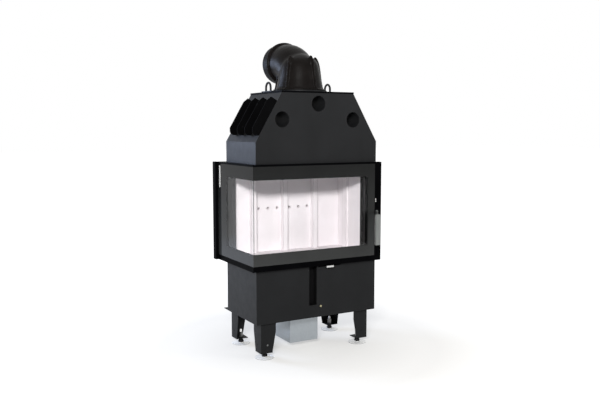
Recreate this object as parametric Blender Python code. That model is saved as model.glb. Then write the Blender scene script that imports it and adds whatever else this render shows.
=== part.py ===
"""Corner fireplace firebox with an L-shaped glass door.

All sizes are in metres. The body frame has X across the front with zero on the
body's centre line, Y from the front face towards the back, and Z up from the floor.
Everything hangs under one empty that puts the middle of the footprint on the origin.
"""
import math

import bmesh
import bpy
from mathutils import Matrix, Vector

# Clearances
FIT = 0.0003
OVERRUN = 0.006
WELD = 0.00001

# Body and sheet thicknesses
BODY_WIDTH = 0.640
BODY_DEPTH = 0.324
SHELL_SHEET = 0.004
CASING_SHEET = 0.003
BASE_HEIGHT = 0.2412
CHAMBER_HEIGHT = 0.4807

# Levelling feet
FOOT_DISC_RADIUS = 0.044
FOOT_DISC_EDGE = 0.0018
FOOT_DISC_RISE = 0.0030
FOOT_HUB_RADIUS = 0.0110
FOOT_HUB_HEIGHT = 0.0105
FOOT_HUB_SHOULDER = 0.0020
FOOT_NECK_RADIUS = 0.0078
FOOT_NECK_HEIGHT = 0.0104
STUD_RADIUS = 0.005
STUD_LENGTH = 0.042
NUT_RADIUS = 0.0105
NUT_HEIGHT = 0.025

# Legs
LEG_SHEET = 0.003
LEG_HEIGHT = 0.142
LEG_WIDTH_TOP = 0.076
LEG_WIDTH_BOTTOM = 0.058
LEG_STRAIGHT = 0.045
LEG_TAB = 0.060
LEG_INSET_X = 0.031
LEG_INSET_Y = 0.020
LEG_HOLE_RADIUS = 0.0048
LEG_HOLE_HEIGHT = 0.037
STUD_INSET = 0.034

# Bottom plate and the air box under it
PLATE_SHEET = 0.0027
PLATE_REAR_REACH = 0.046
AIR_BOX_SIZE = 0.152
AIR_BOX_HEIGHT = 0.140
AIR_BOX_SHEET = 0.002
AIR_BOX_CENTRE_X = -0.018
AIR_BOX_SETBACK = 0.144
SPIGOT_RADIUS = 0.0625
SPIGOT_WALL = 0.0015
SPIGOT_LENGTH = 0.046
SPIGOT_LIP = 0.007
SPIGOT_HEIGHT = 0.070
FLAP_CLEARANCE = 0.0025
FLAP_SHEET = 0.002
FLAP_SHAFT_RADIUS = 0.003
FLAP_SWING_DEG = 90.0

# Air lever and the recess beside it
LEVER_WIDTH = 0.038
LEVER_SHEET = 0.003
LEVER_CENTRE_X = 0.044
LEVER_REACH_OUT = 0.009
LEVER_REACH_IN = 0.060
LEVER_LIP_HEIGHT = 0.0083
LEVER_DROP = 0.006
LEVER_TRAVEL_LEFT = 0.025
LEVER_TRAVEL_RIGHT = 0.060
RECESS_LEFT_X = -0.0492
RECESS_WIDTH = 0.0419
RECESS_HEIGHT = 0.186
RECESS_DEPTH = 0.030
RECESS_SHEET = 0.0015
SCREW_X = 0.0131
SCREW_DROP = 0.193
SCREW_HEAD_RADIUS = 0.0048
SCREW_HEAD_HEIGHT = 0.003
SCREW_SHANK_RADIUS = 0.0022
SCREW_SHANK_LENGTH = 0.010

# Chamber shell
SMOKE_SLOT_WIDTH = 0.520
SMOKE_SLOT_START = 0.018
SMOKE_SLOT_DEPTH = 0.076
REAR_POST_WIDTH = 0.0195
REAR_POST_DEPTH = 0.058
FLANGE_WIDTH = 0.023
FLANGE_SHEET = 0.003
DUCT_START = 0.045
DUCT_DEPTH = 0.0367
DUCT_SHEET = 0.002
DUCT_FOOT_CHAMFER = 0.020

# Fire lining
BRICK_FLOOR = 0.030
BRICK_BACK = 0.0327
BRICK_SIDE = 0.0297
BRICK_TOP_GAP = 0.0412
RIB_WIDTH = 0.026
RIB_DEPTH = 0.0247
RIB_PITCH = 0.170
RIB_MIDDLE_X = -0.0335
SIDE_RIB_SETBACK = 0.058
SIDE_RIB_WIDTH = 0.039
SIDE_RIB_DEPTH = 0.010
AIR_HOLE_RADIUS = 0.0065
AIR_HOLE_DEPTH = 0.020
AIR_HOLE_PITCH = 0.050
AIR_HOLE_HEIGHT = 0.2136
BAFFLE_THICKNESS = 0.020
BAFFLE_START = 0.100

# Grate and ash pan
PAN_CENTRE_X = 0.0
PAN_FORWARD = 0.005
PAN_LENGTH = 0.226
PAN_WIDTH = 0.146
PAN_DEPTH = 0.050
PAN_SHEET = 0.002
PAN_RIM = 0.012
PAN_HOLE_CLEARANCE = 0.003
GRATE_THICKNESS = 0.016
GRATE_BORDER = 0.014
GRATE_SLOTS = 11
GRATE_SLOT_SHARE = 0.5

# Hood with its three air tubes
HOOD_TOP_WIDTH = 0.3788
HOOD_SIDE_HEIGHT = 0.095
HOOD_SLOPE_HEIGHT = 0.2217
TUBE_RADIUS = 0.0385
TUBE_WALL = 0.0025
SIDE_TUBE_INSET = 0.0729
SIDE_TUBE_DROP = 0.1205
MIDDLE_TUBE_DROP = 0.0481
TOP_PLATE_SHEET = 0.0072
TOP_PLATE_OVERHANG = 0.001

# Cooling fins on the left slope
FIN_COUNT = 4
FIN_SHEET = 0.004
FIN_FIRST = 0.003
FIN_START = 0.0435
FIN_LENGTH = 0.179
FIN_HEIGHT = 0.044
FIN_HEAD_RUN = 0.0255
FIN_HEAD_CUT = 0.010
FIN_TAIL_RUN = 0.016
FIN_TAIL_CUT = 0.0106
FIN_TAIL_REACH = 0.008
FIN_TAIL_LEG = 0.0137

# Lifting eyes
EYE_X = 0.1613
EYE_SETBACK = 0.134
EYE_BASE_LENGTH = 0.100
EYE_BASE_WIDTH = 0.022
EYE_BASE_HEIGHT = 0.006
EYE_ROD_RADIUS = 0.005
EYE_BEND_RADIUS = 0.024
EYE_STRAIGHT = 0.0145

# Flue
FLUE_SETBACK = 0.144
FLUE_RADIUS = 0.093
SEAT_BORE_GAP = 0.003
SEAT_LIP = 0.003
SEAT_HEIGHT = 0.0090
FLUE_WALL = 0.0045
FLUE_BEND_RADIUS = 0.128
FLUE_RISE = 0.0095
FLUE_RUN = 0.019
SPIGOT_DEPTH = 0.014
ELBOW_FOOT_LIP = 0.014
ELBOW_FOOT_HEIGHT = 0.007
SKIRT_GAP = 0.020
SKIRT_HEIGHT = 0.177
SKIRT_SHARES = (
    (0.9159, 0.2825), (0.8628, 0.4802), (0.8186, 0.6215), (0.7743, 0.7175), (0.7124, 0.7853),
    (0.6372, 0.8362), (0.5531, 0.8757), (0.4248, 0.9266), (0.2655, 0.9718), (0, 1),
)
RIB_COUNT = 5
RIB_FIRST_DEG = -60.5
RIB_SHEET = 0.008
RIB_REACH = 0.0125
RIB_HEIGHT = 0.164
RIB_SHARES = (
    (0.9163, 0.3354), (0.8805, 0.5488), (0.8367, 0.7317), (0.7769, 0.8841),
    (0.7012, 0.9695), (0.6295, 1), (0.4781, 0.8841),
)
RIM_LIP = 0.011
RIM_WIDTH = 0.006
COLLAR_LIP = 0.0025
COLLAR_WALL = 0.003
COLLAR_LENGTH = 0.058
COLLAR_FLANGE = 0.005

# L-shaped door
DOOR_GAP = 0.0008
DOOR_LIFT = 0.0035
DOOR_HEAD_GAP = 0.0025
RAIL_DEPTH = 0.0262
BOTTOM_RAIL = 0.025
TOP_RAIL = 0.008
CLOSING_STILE_WIDTH = 0.037
CLOSING_STILE_OVERLAP = 0.0143
HINGE_STILE_SETBACK = 0.0396
HINGE_STILE_DEPTH = 0.0325
HINGE_STILE_WIDTH = 0.038
HINGE_STILE_PROUD = 0.0147
GLASS_THICKNESS = 0.004
HINGE_PIN_RADIUS = 0.004
HINGE_PIN_LENGTH = 0.016
HINGE_AXIS_INSET = 0.012
HINGE_AXIS_SETBACK = 0.010
BRACKET_SHEET = 0.005
BRACKET_EYE_RADIUS = 0.0085
BRACKET_NOTCH_GAP = 0.001
BRACKET_TAB_WIDTH = 0.030
BRACKET_TAB_INSET = 0.002

# Handle and its latch cam
GRIP_WIDTH = 0.030
GRIP_THICKNESS = 0.010
GRIP_LENGTH = 0.147
GRIP_RISE = 0.082
GRIP_STANDOFF = 0.045
GRIP_EDGE_GAP = 0.0018
GRIP_BEVEL = 0.0025
SPINDLE_RADIUS = 0.004
SPINDLE_INSET = 0.0072
SPINDLE_ABOVE_GRIP = 0.008
BOSS_RADIUS = 0.007
BOSS_HEIGHT = 0.008
ARM_HALF = 0.006
ARM_SINK = 0.004
CAM_THICKNESS = 0.005
CAM_RADIUS = 0.0065
CAM_NOSE = 0.0102
CAM_NOSE_HALF = 0.0034
CAM_SETBACK = 0.0035
CAM_TAIL = 0.0015
NOTCH_ABOVE = 0.010
NOTCH_BELOW = 0.021
NOTCH_CLEARANCE = 0.0008

# Facets of the round pieces
FINE_SIDES = 48
ROUND_SIDES = 32
SMALL_SIDES = 20
BEND_STEPS = 12
SMOOTH_DEG = 32.0

# Heights that stack from the floor up
HALF_WIDTH = BODY_WIDTH / 2
HUB_BOTTOM = FOOT_DISC_EDGE + FOOT_DISC_RISE
HUB_TOP = HUB_BOTTOM + FOOT_HUB_HEIGHT + FOOT_HUB_SHOULDER
FOOT_TOP = HUB_TOP + FOOT_NECK_HEIGHT
LEG_BOTTOM = FOOT_TOP + FIT
LEG_TOP = LEG_BOTTOM + LEG_HEIGHT
PLATE_BOTTOM = LEG_TOP + FIT
PLATE_TOP = PLATE_BOTTOM + PLATE_SHEET
PLATE_REAR = BODY_DEPTH + PLATE_REAR_REACH
BASE_BOTTOM = PLATE_TOP + FIT
BASE_TOP = BASE_BOTTOM + BASE_HEIGHT
CHAMBER_BOTTOM = BASE_TOP + FIT
CHAMBER_FLOOR = CHAMBER_BOTTOM + SHELL_SHEET
CHAMBER_TOP = CHAMBER_BOTTOM + CHAMBER_HEIGHT
CHAMBER_CEILING = CHAMBER_TOP - SHELL_SHEET
HOOD_BOTTOM = CHAMBER_TOP + FIT
EYE_Y = BODY_DEPTH - EYE_SETBACK
HOOD_SHOULDER = HOOD_BOTTOM + HOOD_SIDE_HEIGHT
HOOD_TOP = HOOD_SHOULDER + HOOD_SLOPE_HEIGHT
TOP_HALF_WIDTH = HOOD_TOP_WIDTH / 2
SLOPE_RUN = HALF_WIDTH - TOP_HALF_WIDTH
SIDE_TUBE_X = TOP_HALF_WIDTH + SLOPE_RUN * SIDE_TUBE_DROP / HOOD_SLOPE_HEIGHT - SIDE_TUBE_INSET
TOP_PLATE_BOTTOM = HOOD_TOP + FIT
TOP_PLATE_TOP = TOP_PLATE_BOTTOM + TOP_PLATE_SHEET
SEAT_BOTTOM = TOP_PLATE_TOP + FIT
SEAT_TOP = SEAT_BOTTOM + SEAT_HEIGHT
ELBOW_BOTTOM = SEAT_TOP + FIT
BEND_START = ELBOW_BOTTOM + FLUE_RISE

# Flue sizes and places that follow the pipe and the body
FLUE_Y = BODY_DEPTH - FLUE_SETBACK
SEAT_BORE_RADIUS = FLUE_RADIUS + SEAT_BORE_GAP
SKIRT_RADIUS = FLUE_RADIUS + SKIRT_GAP
ELBOW_FOOT_RADIUS = SKIRT_RADIUS + ELBOW_FOOT_LIP
SEAT_RADIUS = ELBOW_FOOT_RADIUS + SEAT_LIP
RIB_RADIUS = SKIRT_RADIUS + RIB_REACH
RIM_RADIUS = FLUE_RADIUS + RIM_LIP
COLLAR_RADIUS = FLUE_RADIUS + COLLAR_LIP
OUTLET_HEIGHT = BEND_START + FLUE_BEND_RADIUS
OUTLET_FACE = FLUE_Y + FLUE_BEND_RADIUS + FLUE_RUN
OUTLET_END = OUTLET_FACE + FIT + COLLAR_LENGTH

# Places in the fire lining
FLOOR_BRICK_BOTTOM = CHAMBER_FLOOR + FIT
FLOOR_BRICK_TOP = FLOOR_BRICK_BOTTOM + BRICK_FLOOR
WALL_BRICK_BOTTOM = FLOOR_BRICK_TOP + FIT
WALL_BRICK_TOP = CHAMBER_CEILING - BRICK_TOP_GAP
INNER_BACK = BODY_DEPTH - SHELL_SHEET - FIT
INNER_RIGHT = HALF_WIDTH - SHELL_SHEET - FIT
BACK_FACE = INNER_BACK - BRICK_BACK
SIDE_FACE = INNER_RIGHT - BRICK_SIDE
PAN_CENTRE_Y = (FLANGE_SHEET + BACK_FACE) / 2 - PAN_FORWARD
SIDE_RIB_END = BACK_FACE - SIDE_RIB_SETBACK
SIDE_RIB_START = SIDE_RIB_END - SIDE_RIB_WIDTH
REAR_POST_X = REAR_POST_WIDTH - HALF_WIDTH
REAR_POST_Y = BODY_DEPTH - SHELL_SHEET - REAR_POST_DEPTH
DUCT_END = DUCT_START + DUCT_DEPTH

# Places on the door
DOOR_FRONT = -(DOOR_GAP + RAIL_DEPTH)
DOOR_SIDE = -(HALF_WIDTH + DOOR_GAP + RAIL_DEPTH)
DOOR_BOTTOM = BASE_TOP + DOOR_LIFT
DOOR_TOP = CHAMBER_TOP - DOOR_HEAD_GAP
DOOR_RIGHT = HALF_WIDTH + CLOSING_STILE_OVERLAP
CLOSING_LEFT = DOOR_RIGHT - CLOSING_STILE_WIDTH
HINGE_LEFT = DOOR_SIDE - HINGE_STILE_PROUD
HINGE_RIGHT = HINGE_LEFT + HINGE_STILE_WIDTH
HINGE_FRONT = BODY_DEPTH + HINGE_STILE_SETBACK
HINGE_BACK = HINGE_FRONT + HINGE_STILE_DEPTH
HINGE_AXIS_X = HINGE_RIGHT - HINGE_AXIS_INSET
HINGE_AXIS_Y = HINGE_FRONT + HINGE_AXIS_SETBACK
GRIP_RIGHT = CLOSING_LEFT - GRIP_EDGE_GAP
GRIP_LEFT = GRIP_RIGHT - GRIP_WIDTH
GRIP_BACK = DOOR_FRONT - GRIP_STANDOFF
GRIP_FRONT = GRIP_BACK - GRIP_THICKNESS
GRIP_BOTTOM = DOOR_BOTTOM + GRIP_RISE
GRIP_TOP = GRIP_BOTTOM + GRIP_LENGTH
SPINDLE_X = CLOSING_LEFT + SPINDLE_INSET
SPINDLE_Z = GRIP_TOP + SPINDLE_ABOVE_GRIP

# Middle of the footprint, which becomes the world origin
FOOTPRINT_X = (HINGE_LEFT + DOOR_RIGHT) / 2
FOOTPRINT_Y = (GRIP_FRONT + max(OUTLET_END, HINGE_BACK)) / 2

# Joint axes and the centre line of the flap
AIR_BOX_CENTRE_Y = BODY_DEPTH - AIR_BOX_SETBACK
FLAP_Y = AIR_BOX_CENTRE_Y + AIR_BOX_SIZE / 2 + FIT + SPIGOT_LENGTH / 2
FLAP_Z = PLATE_BOTTOM - FIT - SPIGOT_HEIGHT
FLAP_REST_DEG = FLAP_SWING_DEG * LEVER_TRAVEL_LEFT / (LEVER_TRAVEL_LEFT + LEVER_TRAVEL_RIGHT)
LEVER_BOTTOM = BASE_TOP - LEVER_DROP
LEVER_TOP = LEVER_BOTTOM + LEVER_SHEET

MATERIALS = {
    "body_steel": ((0.040, 0.041, 0.042), 0.55, 0.25),
    "frame_black": ((0.006, 0.006, 0.007), 0.38, 0.10),
    "fin_black": ((0.008, 0.008, 0.009), 0.60, 0.10),
    "cast_iron": ((0.045, 0.043, 0.041), 0.50, 0.45),
    "galvanised": ((0.46, 0.48, 0.50), 0.38, 0.90),
    "fire_lining": ((0.80, 0.77, 0.73), 0.90, 0.0),
    "ceramic_glass": ((0.055, 0.058, 0.060), 0.05, 0.0),
    "satin_steel": ((0.50, 0.50, 0.49), 0.30, 1.0),
    "zinc": ((0.62, 0.62, 0.60), 0.32, 1.0),
}


def clear_scene():
    """Remove every object that the scene starts with."""
    for item in list(bpy.data.objects):
        bpy.data.objects.remove(item, do_unlink=True)


def material(name):
    """Return the named Principled material, made on first use."""
    if name in bpy.data.materials:
        return bpy.data.materials[name]
    colour, roughness, metallic = MATERIALS[name]
    made = bpy.data.materials.new(name)
    made.use_nodes = True
    shader = made.node_tree.nodes["Principled BSDF"]
    shader.inputs["Base Color"].default_value = (*colour, 1.0)
    shader.inputs["Roughness"].default_value = roughness
    shader.inputs["Metallic"].default_value = metallic
    return made


# Shapes, each returned as a closed bmesh in body coordinates

def block(x_span, y_span, z_span):
    """Return a box between the given limits."""
    shape = bmesh.new()
    bmesh.ops.create_cube(shape, size=1.0)
    spans = (x_span, y_span, z_span)
    sizes = [max(span) - min(span) for span in spans]
    middle = [sum(span) / 2 for span in spans]
    bmesh.ops.scale(shape, vec=sizes, verts=shape.verts)
    bmesh.ops.translate(shape, vec=middle, verts=shape.verts)
    return shape


def plane_point(axis, first, second, along):
    """Return a 3-D point from two in-plane coordinates and one along the axis."""
    if axis == "X":
        return (along, first, second)
    if axis == "Y":
        return (first, along, second)
    return (first, second, along)


def prism(outline, axis, span):
    """Extrude an outline along an axis; its points are YZ, XZ or XY pairs."""
    shape = bmesh.new()
    low = [shape.verts.new(plane_point(axis, a, b, min(span))) for a, b in outline]
    high = [shape.verts.new(plane_point(axis, a, b, max(span))) for a, b in outline]
    count = len(outline)
    shape.faces.new(low)
    shape.faces.new(high)
    for index in range(count):
        after = (index + 1) % count
        shape.faces.new((low[index], low[after], high[after], high[index]))
    bmesh.ops.recalc_face_normals(shape, faces=shape.faces)
    return shape


def circle(first, second, radius, sides):
    """Return the points of a circle as pairs."""
    turn = 2 * math.pi / sides
    return [
        (first + radius * math.cos(turn * step), second + radius * math.sin(turn * step))
        for step in range(sides)
    ]


def rod(axis, centre, radius, span, sides=ROUND_SIDES):
    """Return a cylinder along an axis through an in-plane centre."""
    return prism(circle(centre[0], centre[1], radius, sides), axis, span)


def turned(axis, centre, profile, sides=ROUND_SIDES):
    """Spin a closed profile of (radius, along) pairs around an axis."""
    shape = bmesh.new()
    turn = 2 * math.pi / sides
    rings = []
    for radius, along in profile:
        if radius == 0:
            rings.append([shape.verts.new(plane_point(axis, centre[0], centre[1], along))])
            continue
        ring = []
        for step in range(sides):
            first = centre[0] + radius * math.cos(turn * step)
            second = centre[1] + radius * math.sin(turn * step)
            ring.append(shape.verts.new(plane_point(axis, first, second, along)))
        rings.append(ring)
    for index, ring in enumerate(rings):
        after = rings[(index + 1) % len(rings)]
        if len(ring) == 1 and len(after) == 1:
            continue
        for step in range(sides):
            following = (step + 1) % sides
            corners = [ring[step % len(ring)], ring[following % len(ring)]]
            corners += [after[following % len(after)], after[step % len(after)]]
            unique = list(dict.fromkeys(corners))
            shape.faces.new(unique)
    bmesh.ops.recalc_face_normals(shape, faces=shape.faces)
    return shape


def ring_tube(axis, centre, outer, inner, span, sides=ROUND_SIDES):
    """Return a straight tube."""
    low, high = min(span), max(span)
    return turned(axis, centre, [(outer, low), (outer, high), (inner, high), (inner, low)], sides)


def swept(path, radius, sides):
    """Sweep a circle along a path that lies in a plane of constant X."""
    shape = bmesh.new()
    turn = 2 * math.pi / sides
    rings = []
    for index, point in enumerate(path):
        before = path[max(index - 1, 0)]
        after = path[min(index + 1, len(path) - 1)]
        along = (Vector(after) - Vector(before)).normalized()
        across = Vector((1, 0, 0))
        upright = along.cross(across).normalized()
        ring = []
        for step in range(sides):
            offset = across * math.cos(turn * step) + upright * math.sin(turn * step)
            ring.append(shape.verts.new(Vector(point) + offset * radius))
        rings.append(ring)
    for ring, after in zip(rings, rings[1:]):
        for step in range(sides):
            following = (step + 1) % sides
            shape.faces.new((ring[step], ring[following], after[following], after[step]))
    shape.faces.new(rings[0])
    shape.faces.new(rings[-1])
    bmesh.ops.recalc_face_normals(shape, faces=shape.faces)
    return shape


def frustum_bar(low_corners, high_corners):
    """Return a bar with flat sides between two four-cornered ends."""
    shape = bmesh.new()
    low = [shape.verts.new(corner) for corner in low_corners]
    high = [shape.verts.new(corner) for corner in high_corners]
    shape.faces.new(low)
    shape.faces.new(high)
    for index in range(len(low)):
        after = (index + 1) % len(low)
        shape.faces.new((low[index], low[after], high[after], high[index]))
    bmesh.ops.recalc_face_normals(shape, faces=shape.faces)
    return shape


def combined(base, tools, operation):
    """Apply the tools to the base with the exact Boolean and return the result."""
    host = scratch_object(base)
    for tool in tools:
        guest = scratch_object(tool)
        step = host.modifiers.new("cut", "BOOLEAN")
        step.operation = operation
        step.solver = "EXACT"
        step.object = guest
        graph = bpy.context.evaluated_depsgraph_get()
        result = bpy.data.meshes.new_from_object(host.evaluated_get(graph))
        host.modifiers.clear()
        host.data = result
        welded(result)
        bpy.data.objects.remove(guest, do_unlink=True)
    shape = bmesh.new()
    shape.from_mesh(host.data)
    bpy.data.objects.remove(host, do_unlink=True)
    return shape


def welded(mesh):
    """Join the corners that a Boolean leaves on the same spot."""
    shape = bmesh.new()
    shape.from_mesh(mesh)
    bmesh.ops.remove_doubles(shape, verts=shape.verts, dist=WELD)
    bmesh.ops.dissolve_degenerate(shape, edges=shape.edges, dist=WELD)
    shape.to_mesh(mesh)
    shape.free()


def scratch_object(shape):
    """Put a shape on a helper object."""
    mesh = bpy.data.meshes.new("helper")
    shape.to_mesh(mesh)
    shape.free()
    helper = bpy.data.objects.new("helper", mesh)
    bpy.context.scene.collection.objects.link(helper)
    return helper


def joined(base, *others):
    return combined(base, others, "UNION")


def cut(base, *tools):
    return combined(base, tools, "DIFFERENCE")


class Assembly:
    """Places pieces under the empties that stand for the joints' axes."""

    def __init__(self):
        self.places = {}
        self.empties = {}
        self.add_axis("firebox", (0, 0, 0), None)
        self.empties["firebox"].location = (-FOOTPRINT_X, -FOOTPRINT_Y, 0)

    def add_axis(self, name, place, parent):
        empty = bpy.data.objects.new(name, None)
        empty.empty_display_size = HALF_WIDTH / 4
        bpy.context.scene.collection.objects.link(empty)
        self.places[name] = Vector(place)
        self.empties[name] = empty
        if parent:
            empty.parent = self.empties[parent]
            empty.location = self.places[name] - self.places[parent]

    def add(self, name, shape, material_name, axis="firebox", smooth=False, bevel=0.0):
        """Add a piece whose origin is its own middle, or the axis it turns on."""
        mesh = bpy.data.meshes.new(name)
        if axis == "firebox":
            corners = [vertex.co for vertex in shape.verts]
            low = Vector([min(corner[i] for corner in corners) for i in range(3)])
            high = Vector([max(corner[i] for corner in corners) for i in range(3)])
            origin = (low + high) / 2
        else:
            origin = self.places[axis]
        bmesh.ops.transform(shape, matrix=Matrix.Translation(-origin), verts=shape.verts)
        shape.to_mesh(mesh)
        shape.free()
        if smooth:
            mesh.shade_smooth()
            mesh.set_sharp_from_angle(angle=math.radians(SMOOTH_DEG))
        mesh.materials.append(material(material_name))
        piece = bpy.data.objects.new(name, mesh)
        piece.parent = self.empties[axis]
        piece.location = origin - self.places[axis]
        bpy.context.scene.collection.objects.link(piece)
        if bevel:
            edge = piece.modifiers.new("edge", "BEVEL")
            edge.width = bevel
            edge.segments = 2
            edge.limit_method = "ANGLE"
        return piece


# Stand

def leg_corner(side, end):
    """Return the outer corner of a leg: side is -1 or 1 in X, end -1 front or 1 rear."""
    x = side * (HALF_WIDTH - LEG_INSET_X)
    y = LEG_INSET_Y if end < 0 else PLATE_REAR - LEG_INSET_Y
    return x, y


def stud_place(side, end):
    x, y = leg_corner(side, end)
    return x - side * STUD_INSET, y - end * STUD_INSET


def leg_blade(start, inward):
    """Return the outline of one leg plate as (across, up) pairs."""
    return [
        (start, LEG_BOTTOM),
        (start + inward * LEG_WIDTH_BOTTOM, LEG_BOTTOM),
        (start + inward * LEG_WIDTH_TOP, LEG_TOP - LEG_STRAIGHT),
        (start + inward * LEG_WIDTH_TOP, LEG_TOP),
        (start, LEG_TOP),
    ]


def build_leg(assembly, name, side, end):
    x, y = leg_corner(side, end)
    stud_x, stud_y = stud_place(side, end)
    outer_y = (y, y - end * LEG_SHEET)
    outer_x = (x, x - side * LEG_SHEET)
    facing = prism(leg_blade(x, -side), "Y", outer_y)
    flank = prism(leg_blade(y, -end), "X", outer_x)
    tab_z = (LEG_BOTTOM, LEG_BOTTOM + LEG_SHEET)
    tab = block((x, x - side * LEG_TAB), (y, y - end * LEG_TAB), tab_z)
    hole_z = LEG_BOTTOM + LEG_HOLE_HEIGHT
    past_y = (y + end * OVERRUN, y - end * (LEG_SHEET + OVERRUN))
    past_x = (x + side * OVERRUN, x - side * (LEG_SHEET + OVERRUN))
    past_z = (LEG_BOTTOM - OVERRUN, LEG_BOTTOM + LEG_SHEET + OVERRUN)
    leg = cut(
        joined(facing, flank, tab),
        rod("Y", (stud_x, hole_z), LEG_HOLE_RADIUS, past_y, SMALL_SIDES),
        rod("X", (stud_y, hole_z), LEG_HOLE_RADIUS, past_x, SMALL_SIDES),
        rod("Z", (stud_x, stud_y), STUD_RADIUS + FIT, past_z, SMALL_SIDES),
    )
    assembly.add("leg_" + name, leg, "body_steel")


def build_foot(assembly, name, side, end):
    centre = stud_place(side, end)
    axis = "foot_axis_" + name
    assembly.add_axis(axis, (centre[0], centre[1], FOOT_TOP), "firebox")
    foot = turned("Z", centre, [
        (0, 0),
        (FOOT_DISC_RADIUS, 0),
        (FOOT_DISC_RADIUS, FOOT_DISC_EDGE),
        (FOOT_HUB_RADIUS, HUB_BOTTOM),
        (FOOT_HUB_RADIUS, HUB_BOTTOM + FOOT_HUB_HEIGHT),
        (FOOT_NECK_RADIUS, HUB_TOP),
        (FOOT_NECK_RADIUS, FOOT_TOP),
        (STUD_RADIUS, FOOT_TOP),
        (STUD_RADIUS, FOOT_TOP + STUD_LENGTH),
        (0, FOOT_TOP + STUD_LENGTH),
    ], ROUND_SIDES)
    assembly.add("foot_" + name, foot, "zinc", axis, smooth=True)
    nut_bottom = LEG_BOTTOM + LEG_SHEET + FIT
    nut = cut(
        rod("Z", centre, NUT_RADIUS, (nut_bottom, nut_bottom + NUT_HEIGHT), 6),
        rod("Z", centre, STUD_RADIUS + FIT,
            (nut_bottom - OVERRUN, nut_bottom + NUT_HEIGHT + OVERRUN), SMALL_SIDES),
    )
    assembly.add("leg_nut_" + name, nut, "zinc")


def build_stand(assembly):
    corners = {"front_left": (-1, -1), "front_right": (1, -1),
               "rear_left": (-1, 1), "rear_right": (1, 1)}
    for name, (side, end) in corners.items():
        build_leg(assembly, name, side, end)
        build_foot(assembly, name, side, end)


# Base

def build_floor_plate(assembly):
    hole = AIR_BOX_SIZE / 2 - AIR_BOX_SHEET - OVERRUN
    plate = cut(
        block((-HALF_WIDTH, HALF_WIDTH), (0, PLATE_REAR), (PLATE_BOTTOM, PLATE_TOP)),
        block((AIR_BOX_CENTRE_X - hole, AIR_BOX_CENTRE_X + hole),
              (AIR_BOX_CENTRE_Y - hole, AIR_BOX_CENTRE_Y + hole),
              (PLATE_BOTTOM - OVERRUN, PLATE_TOP + OVERRUN)),
    )
    assembly.add("base_floor_plate", plate, "body_steel")


def build_casing(assembly):
    inner = HALF_WIDTH - CASING_SHEET
    ring = cut(
        block((-HALF_WIDTH, HALF_WIDTH), (0, BODY_DEPTH), (BASE_BOTTOM, BASE_TOP)),
        block((-inner, inner), (CASING_SHEET, BODY_DEPTH - CASING_SHEET),
              (BASE_BOTTOM - OVERRUN, BASE_TOP + OVERRUN)),
    )
    notch_left = LEVER_CENTRE_X - LEVER_WIDTH / 2 - LEVER_TRAVEL_LEFT - FIT
    notch_right = LEVER_CENTRE_X + LEVER_WIDTH / 2 + LEVER_TRAVEL_RIGHT + FIT
    through = (-OVERRUN, CASING_SHEET + OVERRUN)
    casing = cut(
        ring,
        block((RECESS_LEFT_X, RECESS_LEFT_X + RECESS_WIDTH), through,
              (BASE_TOP - RECESS_HEIGHT, BASE_TOP + OVERRUN)),
        block((notch_left, notch_right), through, (LEVER_BOTTOM - FIT, BASE_TOP + OVERRUN)),
        rod("Y", (SCREW_X, BASE_TOP - SCREW_DROP), SCREW_SHANK_RADIUS + FIT, through, SMALL_SIDES),
    )
    assembly.add("base_casing", casing, "body_steel")


def build_recess(assembly):
    left = RECESS_LEFT_X + FIT
    right = RECESS_LEFT_X + RECESS_WIDTH - FIT
    bottom = BASE_TOP - RECESS_HEIGHT + FIT
    back = RECESS_DEPTH + RECESS_SHEET
    liner = cut(
        block((left, right), (0, back), (bottom, BASE_TOP - FIT)),
        block((left + RECESS_SHEET, right - RECESS_SHEET), (-OVERRUN, RECESS_DEPTH),
              (bottom + RECESS_SHEET, BASE_TOP + OVERRUN)),
    )
    assembly.add("recess_liner", liner, "body_steel")
    head_span = (-FIT - SCREW_HEAD_HEIGHT, -FIT)
    centre = (SCREW_X, BASE_TOP - SCREW_DROP)
    screw = joined(
        rod("Y", centre, SCREW_HEAD_RADIUS, head_span, SMALL_SIDES),
        rod("Y", centre, SCREW_SHANK_RADIUS, (head_span[0] / 2, SCREW_SHANK_LENGTH), SMALL_SIDES),
    )
    assembly.add("casing_screw", screw, "zinc", smooth=True)


def build_air_box(assembly):
    half = AIR_BOX_SIZE / 2
    inner = half - AIR_BOX_SHEET
    top = PLATE_BOTTOM - FIT
    bottom = top - AIR_BOX_HEIGHT
    rear = AIR_BOX_CENTRE_Y + half
    centre = (AIR_BOX_CENTRE_X, FLAP_Z)
    box = cut(
        block((AIR_BOX_CENTRE_X - half, AIR_BOX_CENTRE_X + half),
              (AIR_BOX_CENTRE_Y - half, rear), (bottom, top)),
        block((AIR_BOX_CENTRE_X - inner, AIR_BOX_CENTRE_X + inner),
              (AIR_BOX_CENTRE_Y - inner, AIR_BOX_CENTRE_Y + inner),
              (bottom + AIR_BOX_SHEET, top + OVERRUN)),
        rod("Y", centre, SPIGOT_RADIUS - SPIGOT_WALL,
            (rear - AIR_BOX_SHEET - OVERRUN, rear + OVERRUN), FINE_SIDES),
    )
    assembly.add("air_box", box, "galvanised")
    start = rear + FIT
    bore = SPIGOT_RADIUS - SPIGOT_WALL
    spigot = turned("Y", centre, [
        (bore, start),
        (SPIGOT_RADIUS + SPIGOT_LIP, start),
        (SPIGOT_RADIUS + SPIGOT_LIP, start + AIR_BOX_SHEET),
        (SPIGOT_RADIUS, start + AIR_BOX_SHEET),
        (SPIGOT_RADIUS, start + SPIGOT_LENGTH),
        (bore, start + SPIGOT_LENGTH),
    ], FINE_SIDES)
    assembly.add("air_spigot", spigot, "galvanised", smooth=True)


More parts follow.
